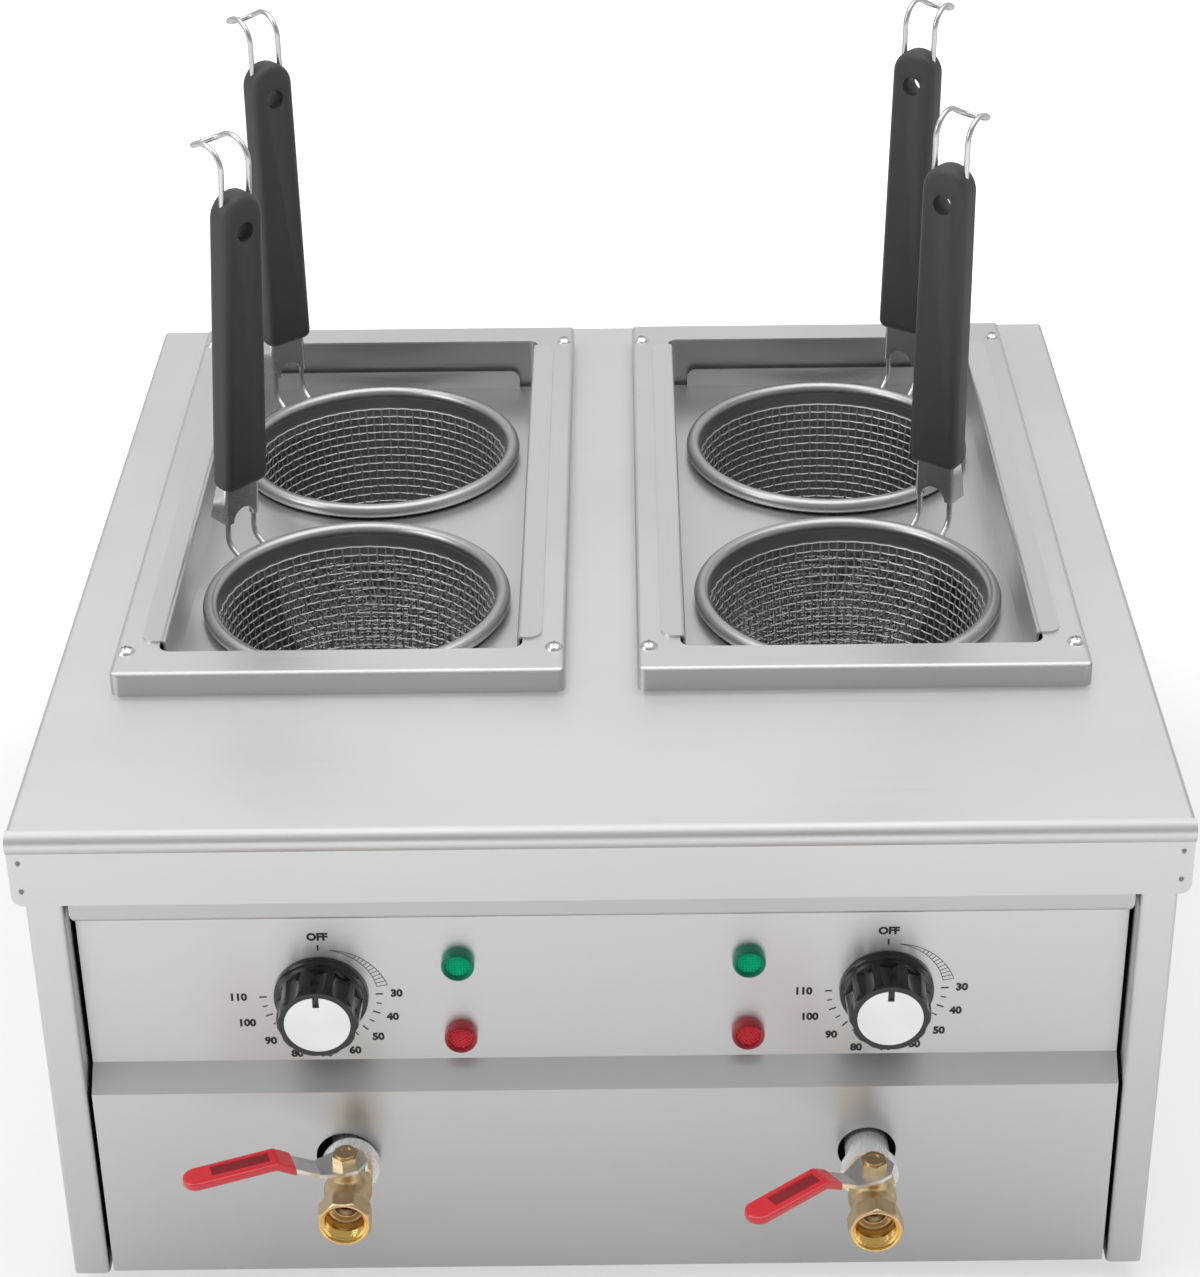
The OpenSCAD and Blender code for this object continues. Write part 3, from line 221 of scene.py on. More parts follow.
brushing.links.new(grain.outputs["Fac"], result.inputs["Height"])


def brushed(name, grey, roughness, stretch, smear, anisotropy=0.7, relief=0.08, tint=(1, 1, 1),
            metallic=1.0):
    """Brushed or drawn metal, with fine lines by stretch and reflections drawn out along smear."""
    material = bpy.data.materials.new(name)
    tree, shader = nodes_of(material)
    place = add(tree, "TexCoord")
    lines = add(tree, "Group", node_tree=brushing)
    lines.inputs["Stretch"].default_value = stretch
    lines.inputs["Light"].default_value = [grey * 1.06 * t for t in tint] + [1]
    lines.inputs["Dark"].default_value = [grey * 0.94 * t for t in tint] + [1]
    lines.inputs["Least Roughness"].default_value = roughness * 0.85
    lines.inputs["Most Roughness"].default_value = roughness * 1.15
    bump = add(tree, "Bump")
    bump.inputs["Strength"].default_value = relief
    bump.inputs["Distance"].default_value = 0.0002
    along = add(tree, "CombineXYZ")
    for axis in range(3):
        along.inputs[axis].default_value = smear[axis]
    shader.inputs["Metallic"].default_value = metallic
    shader.inputs["Anisotropic"].default_value = anisotropy
    tree.links.new(place.outputs["Object"], lines.inputs["Vector"])
    tree.links.new(lines.outputs["Color"], shader.inputs["Base Color"])
    tree.links.new(lines.outputs["Roughness"], shader.inputs["Roughness"])
    tree.links.new(lines.outputs["Height"], bump.inputs["Height"])
    tree.links.new(bump.outputs[0], shader.inputs["Normal"])
    tree.links.new(along.outputs[0], shader.inputs["Tangent"])
    return material


def dress(material, *names):
    """Gives CAD nodes their material."""
    for name in names:
        nodes[name].data.materials.clear()
        nodes[name].data.materials.append(material)


along_x = (5, 1300, 1300)
along_y = (1300, 5, 1300)
sheet_grey = 0.64
front_steel = brushed("front_steel", sheet_grey, 0.36, along_x, (0, 1, 1))
dress(front_steel, "base_plate")


def moulded(name, colour, roughness, grain_size, relief, coat=0.0):
    """Moulded rubber or plastic: an even colour with a fine spark-eroded grain."""
    material = bpy.data.materials.new(name)
    tree, shader = nodes_of(material)
    place = add(tree, "TexCoord")
    grain = add(tree, "TexNoise")
    grain.inputs["Scale"].default_value = 1 / grain_size
    grain.inputs["Detail"].default_value = 2.0
    patch = add(tree, "TexNoise")
    patch.inputs["Scale"].default_value = 40
    tone = add(tree, "Mix", data_type="RGBA")
    tone.inputs[6].default_value = [c * 0.88 for c in colour] + [1]
    tone.inputs[7].default_value = [c * 1.12 for c in colour] + [1]
    rough = ramp(tree, 0.0, 1.0, roughness * 0.85, roughness * 1.15)
    bump = add(tree, "Bump")
    bump.inputs["Strength"].default_value = relief
    bump.inputs["Distance"].default_value = 0.0003
    shader.inputs["Coat Weight"].default_value = coat
    shader.inputs["Coat Roughness"].default_value = 0.08
    tree.links.new(place.outputs["Object"], grain.inputs["Vector"])
    tree.links.new(place.outputs["Object"], patch.inputs["Vector"])
    tree.links.new(patch.outputs["Fac"], tone.inputs[0])
    tree.links.new(tone.outputs[2], shader.inputs["Base Color"])
    tree.links.new(patch.outputs["Fac"], rough.inputs["Value"])
    tree.links.new(rough.outputs[0], shader.inputs["Roughness"])
    tree.links.new(grain.outputs["Fac"], bump.inputs["Height"])
    tree.links.new(bump.outputs[0], shader.inputs["Normal"])
    return material


foot_rubber = moulded("foot_rubber", (0.025, 0.025, 0.026), 0.75, 0.0009, 0.4)
dress(foot_rubber, "rubber_feet")

# Side and back panels
# Each side is one sheet, folded at the front into a post and brushed along its length.
# The back closes the body, with pressed vents, and pan-head screws hold it to the flanges.
side_steel = brushed("side_steel", sheet_grey, 0.36, along_y, (0, 0, 1))
dress(side_steel, "left_side_panel", "right_side_panel")
dress(front_steel, "back_panel")
screw_steel = brushed("screw_steel", 0.66, 0.24, (700, 700, 700), (0, 1, 0), anisotropy=0.0, relief=0.05)
dress(screw_steel, "panel_screws")

# Tanks
# Two deep-drawn stainless tanks, duller than the brushed sheets outside, hold the water.
# Each has a bent tube heater near its floor and a copper sensor bulb on its wall.
tank_steel = brushed("tank_steel", 0.5, 0.4, (60, 60, 300), (0, 0, 1), anisotropy=0.4, relief=0.06)
dress(tank_steel, "tank_left", "tank_right")
heater_steel = brushed("heater_steel", 0.34, 0.36, (900, 60, 900), (0, 1, 0), anisotropy=0.2,
                       tint=(1.0, 0.95, 0.88))
dress(heater_steel, "heating_elements")
sensor_copper = brushed("sensor_copper", 0.62, 0.3, (300, 300, 300), (0, 1, 0), anisotropy=0.0,
                        tint=(1.25, 0.72, 0.5))
dress(sensor_copper, "sensor_bulbs")

# Front panel and rail
# One sheet makes the lower front, the sloping ledge and the set-back control face above it.
# The rail closes the gap under the top plate's apron.
dress(front_steel, "front_panel")
# The rail's steel is painted darker than the front sheet, as painted shade under the apron.
shaded_rail_steel = brushed("shaded_rail_steel", 0.53, 0.36, along_x, (0, 1, 1))
dress(shaded_rail_steel, "front_rail")

# Thermostats, terminal block and cable gland
# Inside the body, the capillary thermostats sit behind the knobs and the terminal block at the back.
# The gland clamps the supply cable where it enters the back panel.
white_plastic = moulded("white_plastic", (0.72, 0.71, 0.67), 0.45, 0.0012, 0.2)
dress(white_plastic, "thermostats", "terminal_block")
gland_plastic = moulded("gland_plastic", (0.035, 0.035, 0.037), 0.5, 0.0010, 0.3)
dress(gland_plastic, "cable_gland")
shaft_steel = brushed("shaft_steel", 0.6, 0.3, (900, 40, 900), (1, 0, 0), anisotropy=0.3)
dress(shaft_steel, "thermostat_shaft_left", "thermostat_shaft_right")

# Lamps
# Round push-in lamps, green for power and red for heat, each a clear coloured plastic lens.
# The lens is moulded with a fine grid behind a smooth rim.


def choose(piece):
    """Makes a piece the only one selected, and the active one."""
    bpy.ops.object.select_all(action="DESELECT")
    piece.select_set(True)
    bpy.context.view_layer.objects.active = piece


def turned(name, profile, sides=96):
    """Turns a form round +Z from radii and heights in mm, listed from the back to the front."""
    radius, height = profile[0]
    bpy.ops.object.select_all(action="DESELECT")
    bpy.ops.mesh.primitive_circle_add(
        vertices=sides, radius=radius * MM, fill_type="NGON", location=(0, 0, height * MM))
    form = bpy.context.object
    form.name = name
    bpy.ops.object.transform_apply()
    bpy.ops.object.mode_set(mode="EDIT")
    bpy.ops.mesh.select_all(action="SELECT")
    for wider, higher in profile[1:]:
        bpy.ops.mesh.extrude_region_move(
            TRANSFORM_OT_translate={"value": (0, 0, (higher - height) * MM)})
        bpy.ops.transform.resize(
            value=(wider / radius, wider / radius, 1), center_override=(0, 0, higher * MM))
        radius, height = wider, higher
    bpy.ops.mesh.select_all(action="SELECT")
    bpy.ops.mesh.normals_make_consistent(inside=False)
    bpy.ops.object.mode_set(mode="OBJECT")
    return form


def smooth(piece, angle=40):
    """Shades a piece smooth, apart from its sharper edges."""
    choose(piece)
    bpy.ops.object.shade_smooth_by_angle(angle=math.radians(angle))


def twin(piece, name, place):
    """Copies a piece with its own mesh and sets the copy at a place, with the place in the mesh."""
    copy = piece.copy()
    copy.data = piece.data.copy()
    copy.name = name
    copy.data.name = name
    scene.collection.objects.link(copy)
    copy.data.transform(place)
    return copy


def join(name, pieces):
    """Joins pieces into the first one and names it."""
    bpy.ops.object.select_all(action="DESELECT")
    for piece in pieces:
        piece.select_set(True)
    bpy.context.view_layer.objects.active = pieces[0]
    bpy.ops.object.join()
    pieces[0].name = name
    pieces[0].data.name = name
    return pieces[0]


def finished(piece, material, body, slot, *stands_for):
    """Gives a piece its material and body, and says which CAD nodes it stands for. The slot is not used."""
    piece.data.materials.clear()
    piece.data.materials.append(material)
    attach(piece, body)
    if stands_for:
        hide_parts(*stands_for)


def lens_plastic(name, face_on, aslant):
    """Coloured clear plastic with a little dust on it; its tone face on and its tone at a slant are painted
    light and shade.
    """
    material = bpy.data.materials.new(name)
    tree, shader = nodes_of(material)
    place = add(tree, "TexCoord")
    cloud = add(tree, "TexNoise")
    cloud.inputs["Scale"].default_value = 500
    rim = add(tree, "LayerWeight")
    rim.inputs["Blend"].default_value = 0.35
    tone = add(tree, "Mix", data_type="RGBA")
    tone.inputs[6].default_value = (*face_on, 1)
    tone.inputs[7].default_value = (*aslant, 1)
    rough = ramp(tree, 0.0, 1.0, 0.16, 0.3)
    shader.inputs["Specular IOR Level"].default_value = 0.3
    tree.links.new(rim.outputs["Facing"], tone.inputs[0])
    tree.links.new(tone.outputs[2], shader.inputs["Base Color"])
    tree.links.new(place.outputs["Object"], cloud.inputs["Vector"])
    tree.links.new(cloud.outputs["Fac"], rough.inputs["Value"])
    tree.links.new(rough.outputs[0], shader.inputs["Roughness"])
    return material


def apply_modifier(piece, kind, **settings):
    """Adds a modifier to a piece and applies it."""
    choose(piece)
    modifier = piece.modifiers.new(kind.lower(), kind)
    for name, value in settings.items():
        setattr(modifier, name, value)
    bpy.ops.object.modifier_apply(modifier=modifier.name)


lamp_r = 7.9
lamp_h = 7.0
lens_h = 6.0
face_r = 5.9
face_z = 3.4
prism_count = 8
prism_h = 0.7
rim_form = turned("rim_form", [
    (face_r, -21), (face_r, -0.2), (lamp_r, 0), (lamp_r, lens_h - 1.7), (lamp_r - 0.3, lens_h - 0.8),
    (lamp_r - 0.7, lens_h - 0.2), (lamp_r - 1.1, lens_h), (lamp_r - 1.4, lens_h - 0.3),
    (face_r, face_z), (0.3, face_z)], 64)
smooth(rim_form, 50)
bpy.ops.object.select_all(action="DESELECT")
bpy.ops.mesh.primitive_grid_add(
    x_subdivisions=prism_count, y_subdivisions=prism_count, size=2 * face_r * MM,
    location=(0, 0, face_z * MM))
prism_form = bpy.context.object
bpy.ops.object.transform_apply()
bpy.ops.object.mode_set(mode="EDIT")
bpy.ops.mesh.select_all(action="SELECT")
bpy.ops.mesh.poke(offset=prism_h * MM)
bpy.ops.object.mode_set(mode="OBJECT")
apply_modifier(prism_form, "SOLIDIFY", thickness=0.5 * MM, offset=-1)
bpy.ops.object.select_all(action="DESELECT")
bpy.ops.mesh.primitive_cylinder_add(
    vertices=64, radius=(face_r - 0.15) * MM, depth=6 * MM, location=(0, 0, face_z * MM))
disc = bpy.context.object
apply_modifier(prism_form, "BOOLEAN", operation="INTERSECT", object=disc, solver="EXACT")
bpy.data.objects.remove(disc)
faces_front = Matrix.Rotation(math.radians(90), 4, "X")
# Painted light: the lens faces are painted bright where they face the viewer and deep at a slant, and the
# rims are painted lighter at a slant as a painted sheen.
for node, slot, grid_turn, bright, deep, edge in (
        ("power_lamps", "green_lens", 0, (0.0, 0.74, 0.38), (0.0, 0.17, 0.09), (0.1, 0.5, 0.33)),
        ("heat_lamps", "red_lens", 35, (0.95, 0.06, 0.09), (0.3, 0.008, 0.018), (0.75, 0.2, 0.2))):
    low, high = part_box(node)
    lamp_x = high.x - lamp_r * MM
    panel_y = low.y + lamp_h * MM
    lamp_z = (low.z + high.z) / 2
    rims = []
    prisms = []
    for side in (-1, 1):
        place = Matrix.Translation((side * lamp_x, panel_y, lamp_z)) @ faces_front
        rims.append(twin(rim_form, node + "_rim", place))
        grid_place = place @ Matrix.Rotation(math.radians(grid_turn), 4, "Z")
        prisms.append(twin(prism_form, node + "_prism", grid_place))
    finished(join(node + "_rims", rims), lens_plastic(slot + "_rim", deep, edge), "body", slot, node)
    finished(join(node + "_faces", prisms), lens_plastic(slot + "_face", bright, deep), "body", slot)
bpy.data.objects.remove(rim_form)
bpy.data.objects.remove(prism_form)

# Dial print
# Screen-printed black scale on the control face round each knob: ticks, numbers and a widening wedge.
# The ink is a film too thin to feel, here less than a tenth of a millimetre proud of the steel.
ink_lift = 0.00008
ink = moulded("dial_ink", (0.02, 0.02, 0.022), 0.6, 0.0006, 0.1)


def printed(letters, size):
    """A flat mesh of printed letters, centred on the origin."""
    bpy.ops.object.select_all(action="DESELECT")
    bpy.ops.object.text_add()
    text = bpy.context.object
    text.data.body = letters
    text.data.align_x = "CENTER"
    text.data.align_y = "CENTER"
    text.data.size = size * MM
    text.data.offset = 0.0003
    text.data.resolution_u = 3
    bpy.ops.object.convert(target="MESH")
    return bpy.context.object


def stroke(width, length):
    """A flat printed stroke along Y, centred on the origin."""
    bpy.ops.object.select_all(action="DESELECT")
    bpy.ops.mesh.primitive_plane_add(size=1)
    mark = bpy.context.object
    bpy.ops.transform.resize(value=(width * MM, length * MM, 1))
    bpy.ops.object.transform_apply()
    return mark


def clockwise(angle, radius):
    """Place on the dial, in the dial's own plane, at an angle clockwise from the top."""
    turn = math.radians(angle)
    return Vector((radius * math.sin(turn) * MM, radius * math.cos(turn) * MM, 0))


first_angle = 88.5
step_angle = 22.6
scale_numbers = range(30, 111, 10)
tick_radius = 27.6
marks = []


def put(mark, place, turn=0.0):
    """Sets a printed mark on the dial."""
    mark.data.transform(Matrix.Translation(place) @ Matrix.Rotation(math.radians(-turn), 4, "Z"))
    marks.append(mark)


def number_radius(number):
    """Distance of a number from the knob's centre: wide numbers beside the knob stand further out."""
    if number == 70:
        return 34.2
    if number < 70:
        return 35.7
    if number < 100:
        return 36.8
    return 39.5


letter_size = 5.6
put(stroke(0.9, 3.2), clockwise(0, 28.0))
put(printed("OFF", letter_size), clockwise(0, 34.1))
for count, number in enumerate(scale_numbers):
    angle = first_angle + count * step_angle
    put(stroke(0.75, 3.6), clockwise(angle, tick_radius), angle)
    put(printed(str(number), letter_size), clockwise(angle, number_radius(number)))
    if number < scale_numbers[-1]:
        put(stroke(0.6, 2.6), clockwise(angle + step_angle / 2, tick_radius), angle + step_angle / 2)
wedge_start = 12
wedge_end = 79
wedge_steps = 16
open_steps = 5
wedge_r = 27.0
wedge_w = 5.2
wedge_line = 0.3
wedge_tilt = 4.5
step_turn = (wedge_end - wedge_start) / wedge_steps
step_span = math.radians(step_turn) * 1.05
for count in range(wedge_steps):
    share = (count + 1) / wedge_steps
    angle = wedge_start + (wedge_end - wedge_start) * share
    between = angle - step_turn / 2
    outer = wedge_r + wedge_w * share
    if count >= open_steps:
        put(stroke(wedge_line, outer - wedge_r), clockwise(angle, (wedge_r + outer) / 2), angle)
    put(stroke(wedge_line, wedge_r * step_span), clockwise(between, wedge_r), between + 90)
    put(stroke(wedge_line, outer * step_span),
        clockwise(between, outer - wedge_w / 2 / wedge_steps), between + 90 - wedge_tilt)
dial = join("dial_form", marks)
for side in ("left", "right"):
    low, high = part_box("knob_" + side)
    panel_y = high.y + 0.8 * MM - ink_lift
    knob_x = (low.x + high.x) / 2
    knob_z = (low.z + high.z) / 2
    print_piece = twin(dial, "dial_print_" + side,
                       Matrix.Translation((knob_x, panel_y, knob_z)) @ faces_front)
    finished(print_piece, ink, "body", "knob_plastic")
bpy.data.objects.remove(dial)

# Knobs
# Moulded phenolic knobs, gloss black and fluted for wet hands, pressed on the thermostat shafts.
# A spun aluminium disc is set into the face, with a notch that shows the setting.
knob_plastic = moulded("knob_plastic", (0.005, 0.005, 0.006), 0.14, 0.004, 0.03, coat=0.4)
knob_h = 22.5
knob_profile = [(22.4, 0.8), (22.4, 2.2), (21.9, 3.0), (20.8, 3.5), (20.2, 5.0), (19.7, 13.0),
                (19.4, knob_h - 2.0), (19.0, knob_h - 0.7), (18.1, knob_h), (15.6, knob_h),
                (15.6, knob_h - 1.2), (3.2, knob_h - 1.2)]
knob_form = turned("knob_form", knob_profile, 120)
flutes = []
flute_count = 10
flute_r = 26.0
flute_l = 20.0
for count in range(flute_count):
    turn = math.radians((count + 0.5) * 360 / flute_count)
    bpy.ops.object.select_all(action="DESELECT")
    bpy.ops.mesh.primitive_cylinder_add(
        vertices=64, radius=8.0 * MM, depth=flute_l * MM,
        location=(flute_r * math.cos(turn) * MM, flute_r * math.sin(turn) * MM, (5.6 + flute_l / 2) * MM))
    bpy.ops.object.transform_apply()
    flutes.append(bpy.context.object)
cutter = join("flute_cutter", flutes)
apply_modifier(knob_form, "BOOLEAN", operation="DIFFERENCE", object=cutter, solver="EXACT")
bpy.data.objects.remove(cutter)
apply_modifier(knob_form, "BEVEL", width=0.5 * MM, segments=3, limit_method="ANGLE",
               angle_limit=math.radians(35))
smooth(knob_form, 35)
spun = bpy.data.materials.new("spun_aluminium")
tree, shader = nodes_of(spun)
shader.inputs["Base Color"].default_value = (0.86, 0.86, 0.87, 1)
shader.inputs["Metallic"].default_value = 1
shader.inputs["Anisotropic"].default_value = 0.6
shader.inputs["Anisotropic Rotation"].default_value = 0.25
rings = add(tree, "Tangent", direction_type="RADIAL", axis="Y")
tree.links.new(rings.outputs[0], shader.inputs["Tangent"])
place = add(tree, "TexCoord")
speck = add(tree, "TexNoise")
speck.inputs["Scale"].default_value = 260
rough = ramp(tree, 0.0, 1.0, 0.26, 0.4)
tree.links.new(place.outputs["Object"], speck.inputs["Vector"])
tree.links.new(speck.outputs["Fac"], rough.inputs["Value"])
tree.links.new(rough.outputs[0], shader.inputs["Roughness"])
dress(spun, "knob_cap_left", "knob_cap_right")
for side in ("left", "right"):
    low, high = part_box("knob_" + side)
    panel_y = high.y + 0.8 * MM
    knob = twin(knob_form, "knob_body_" + side, Matrix.Translation(
        ((low.x + high.x) / 2, panel_y, (low.z + high.z) / 2)) @ faces_front)
    finished(knob, knob_plastic, side + "_knob", "knob_plastic", "knob_" + side)
bpy.data.objects.remove(knob_form)

# Drain pipes and valves
# A welded stainless pipe leads from each tank through the front to a threaded socket.
# A forged brass valve with eight-sided ends is screwed into it, and its lever has a dipped red sleeve.
pipe_steel = brushed("pipe_steel", 0.92, 0.28, (400, 40, 400), (1, 0, 0), anisotropy=0.0, relief=0.0,
                     metallic=0.5)
dress(pipe_steel, "drain_pipes")
chrome = brushed("ball_chrome", 0.7, 0.08, (200, 200, 200), (1, 0, 0), anisotropy=0.0, relief=0.0)
dress(chrome, "valve_ball_left", "valve_ball_right")
lever_steel = brushed("lever_steel", 0.84, 0.34, (300, 300, 300), (1, 0, 0), anisotropy=0.0, relief=0.01)
dress(lever_steel, "lever_left", "lever_right")


def cast_brass(name, mouth):
    """Forged brass, dull outside and bright gold inside the mouth, whose centre is given."""
    material = bpy.data.materials.new(name)
    tree, shader = nodes_of(material)
    place = add(tree, "TexCoord")
    inward = add(tree, "VectorMath", operation="SUBTRACT")
    inward.inputs[1].default_value = mouth
    flat = add(tree, "VectorMath", operation="MULTIPLY")
    flat.inputs[1].default_value = (1, 0, 1)
    span = add(tree, "VectorMath", operation="LENGTH")
    bored = ramp(tree, 0.0117, 0.0113, 0.0, 1.0)
    parts = add(tree, "SeparateXYZ")
    near = ramp(tree, 0.0115, 0.0110, 0.0, 1.0)
    machined = add(tree, "Math", operation="MULTIPLY")
    grain = add(tree, "TexNoise")
    grain.inputs["Scale"].default_value = 900
    grain.inputs["Detail"].default_value = 3
    patch = add(tree, "TexNoise")
    patch.inputs["Scale"].default_value = 90
    tone = add(tree, "Mix", data_type="RGBA")
    tone.inputs[6].default_value = (0.6, 0.44, 0.25, 1)
    tone.inputs[7].default_value = (0.82, 0.63, 0.38, 1)
    bright = add(tree, "Mix", data_type="RGBA")
    bright.inputs[7].default_value = (0.95, 0.62, 0.2, 1)
    rough = add(tree, "Mix", data_type="FLOAT")
    rough.inputs[2].default_value = 0.34
    rough.inputs[3].default_value = 0.2
    bump = add(tree, "Bump")
    bump.inputs["Strength"].default_value = 0.25
    bump.inputs["Distance"].default_value = 0.0004
    shader.inputs["Metallic"].default_value = 1
    tree.links.new(place.outputs["Object"], inward.inputs[0])
    tree.links.new(inward.outputs[0], flat.inputs[0])
    tree.links.new(flat.outputs[0], span.inputs[0])
    tree.links.new(span.outputs["Value"], bored.inputs["Value"])
    tree.links.new(inward.outputs[0], parts.inputs[0])
    tree.links.new(parts.outputs["Y"], near.inputs["Value"])
    tree.links.new(bored.outputs[0], machined.inputs[0])
    tree.links.new(near.outputs[0], machined.inputs[1])
    for texture in (grain, patch):
        tree.links.new(place.outputs["Object"], texture.inputs["Vector"])
    tree.links.new(patch.outputs["Fac"], tone.inputs[0])
    tree.links.new(machined.outputs[0], bright.inputs[0])
    tree.links.new(tone.outputs[2], bright.inputs[6])
    tree.links.new(bright.outputs[2], shader.inputs["Base Color"])
    tree.links.new(machined.outputs[0], rough.inputs[0])
    tree.links.new(rough.outputs[0], shader.inputs["Roughness"])
    tree.links.new(grain.outputs["Fac"], bump.inputs["Height"])
    tree.links.new(bump.outputs[0], shader.inputs["Normal"])
    return material


def softened(node, name, voxel, rounds):
    """A copy of a CAD node with its edges rounded off, as forging or dipping leaves them."""
    copy = nodes[node].copy()
    copy.data = nodes[node].data.copy()
    copy.name = name
    copy.data.name = name
    for key in list(copy.keys()):
        del copy[key]
    copy.parent = None
    scene.collection.objects.link(copy)
    choose(copy)
    bpy.ops.object.mode_set(mode="EDIT")
    bpy.ops.mesh.select_all(action="SELECT")
    bpy.ops.mesh.remove_doubles(threshold=0.00001)
    bpy.ops.object.mode_set(mode="OBJECT")
    apply_modifier(copy, "REMESH", mode="VOXEL", voxel_size=voxel * MM)
    apply_modifier(copy, "SMOOTH", factor=0.5, iterations=rounds)
    smooth(copy, 60)
    return copy


thread_pitch = 1.5
thread_depth = 0.6
mouth_r = 9.3
lip_r = 11.3
thread_profile = []
for turn in range(4):
    crest_z = 0.6 + turn * thread_pitch
    groove_z = crest_z + thread_pitch / 2
    thread_profile.append((max(mouth_r, lip_r - crest_z) - 0.1, crest_z))
    thread_profile.append((max(mouth_r, lip_r - groove_z) + thread_depth, groove_z))
thread_profile.append((mouth_r - 0.1, 0.6 + 4 * thread_pitch))
thread_form = turned("thread_form", thread_profile, 64)
vinyl = moulded("red_vinyl", (0.76, 0.022, 0.035), 0.34, 0.0016, 0.05, coat=0.6)
dark_vinyl = moulded("dark_vinyl", (0.26, 0.012, 0.02), 0.5, 0.0016, 0.1)
panel_l = 28.0
panel_w = 6.6
panel_drop = 0.6


def stadium(name, length, width, height):
    """A flat plate with round ends, along X and centred on the origin."""
    bpy.ops.object.select_all(action="DESELECT")
    bpy.ops.mesh.primitive_cube_add(size=1)
    plate = bpy.context.object
    plate.name = name
    bpy.ops.transform.resize(value=(length * MM, width * MM, height * MM))
    bpy.ops.object.transform_apply()
    apply_modifier(plate, "BEVEL", width=width * 0.3 * MM, segments=5, limit_method="ANGLE")
    return plate


for side in ("left", "right"):
    low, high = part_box("valve_body_" + side)
    ball_low, ball_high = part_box("valve_ball_" + side)
    axis = (ball_low + ball_high) / 2
    mouth = Vector((axis.x, low.y, axis.z))
    brass = cast_brass("brass_" + side, mouth)
    valve = softened("valve_body_" + side, "valve_casting_" + side, 0.5, 4)
    threads = twin(thread_form, "threads_" + side,
                   Matrix.Translation(mouth) @ Matrix.Rotation(math.radians(-90), 4, "X"))
    bpy.ops.object.select_all(action="DESELECT")
    bpy.ops.mesh.primitive_cylinder_add(
        vertices=48, radius=3.4 * MM, depth=24 * MM, location=axis + Vector((0, 0, 16 * MM)))
    bore = bpy.context.object
    for cutter in (threads, bore):
        apply_modifier(valve, "BOOLEAN", operation="DIFFERENCE", object=cutter, solver="EXACT")
        bpy.data.objects.remove(cutter)
    smooth(valve, 35)
    finished(valve, brass, "body", "brass", "valve_body_" + side)
    dress(brass, "valve_stem_" + side)
    sleeve = softened("lever_sleeve_" + side, "dipped_sleeve_" + side, 0.4, 36)
    sleeve_low, sleeve_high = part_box("lever_sleeve_" + side)
    middle = (sleeve_low + sleeve_high) / 2
    lever_turn = math.atan2(middle.y - axis.y, middle.x - axis.x)
    on_top = Matrix.Translation((middle.x, middle.y, sleeve_high.z)) @ Matrix.Rotation(lever_turn, 4, "Z")
    recess = stadium("recess_" + side, panel_l, panel_w, 2 * panel_drop)
    recess.data.transform(on_top)
    apply_modifier(sleeve, "BOOLEAN", operation="DIFFERENCE", object=recess, solver="EXACT")
    bpy.data.objects.remove(recess)
    smooth(sleeve, 40)
    finished(sleeve, vinyl, side + "_valve", "red_vinyl", "lever_sleeve_" + side)
    panel = stadium("sleeve_panel_" + side, panel_l - 0.3, panel_w - 0.3, 0.4)
    panel.data.transform(on_top @ Matrix.Translation((0, 0, -panel_drop * MM)))
    finished(panel, dark_vinyl, side + "_valve", "red_vinyl")
bpy.data.objects.remove(thread_form)

# Top plate and tank frames
# The top is one brushed sheet, rolled over at the front into an apron and folded down at the sides.
# Its flat is duller than the apron. Screws hold a raised frame round each tank opening.
top_steel = brushed("top_steel", 0.63, 0.38, along_x, (0, 1, 1), anisotropy=0.6)
deck_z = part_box("top_plate")[1].z
flat_dulling = 1.32
tree = top_steel.node_tree
shader = tree.nodes["Principled BSDF"]
parts = add(tree, "SeparateXYZ")
on_flat = ramp(tree, deck_z - 4 * MM, deck_z - 1 * MM, 1.0, flat_dulling)
dulled = add(tree, "Math", operation="MULTIPLY")
tree.links.new(tree.nodes["Texture Coordinate"].outputs["Object"], parts.inputs[0])
tree.links.new(parts.outputs["Z"], on_flat.inputs["Value"])
tree.links.new(shader.inputs["Roughness"].links[0].from_socket, dulled.inputs[0])
tree.links.new(on_flat.outputs[0], dulled.inputs[1])
tree.links.new(dulled.outputs[0], shader.inputs["Roughness"])
dress(top_steel, "top_plate")
frame_steel = brushed("frame_steel", 0.62, 0.42, along_x, (0, 1, 1), anisotropy=0.6)
dress(frame_steel, "tank_frame_left", "tank_frame_right")
dress(screw_steel, "frame_screws")

# Apron rivets
# Two small rivets at each end of the apron hold its corner to the folded skirt behind it.
# They sit in shallow dimples, and their dark steel is painted shade of the dimples, laid on the rivet
# heads.
rivet_shade_steel = brushed("rivet_shade_steel", 0.2, 0.4, (900, 900, 900), (0, 1, 0), anisotropy=0.0, relief=0.05)
rivet_form = turned("rivet_form", [(1.25, -0.7), (1.25, -0.25), (0.9, -0.1), (0.2, -0.05)], 32)
smooth(rivet_form, 50)
plate_low, plate_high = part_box("top_plate")
apron_y = plate_low.y + 2 * MM
rivets = []
for side_x in (plate_low.x + 5 * MM, plate_high.x - 5 * MM):
    for drop in (15.5, 31.0):
        rivets.append(twin(rivet_form, "rivet", Matrix.Translation(
            (side_x, apron_y, plate_high.z - drop * MM)) @ faces_front))
finished(join("apron_rivets", rivets), rivet_shade_steel, "body", "screw_steel")
bpy.data.objects.remove(rivet_form)

# Racks
# Each rack is a folded steel plate with two round holes for the baskets, brushed along its length.
# It hangs by its flanges on the frame, without fasteners, and lifts out with the baskets.
rack_steel = brushed("rack_steel", 0.72, 0.36, along_y, (1, 0, 1), anisotropy=0.5)
dress(rack_steel, "rack_left", "rack_right")

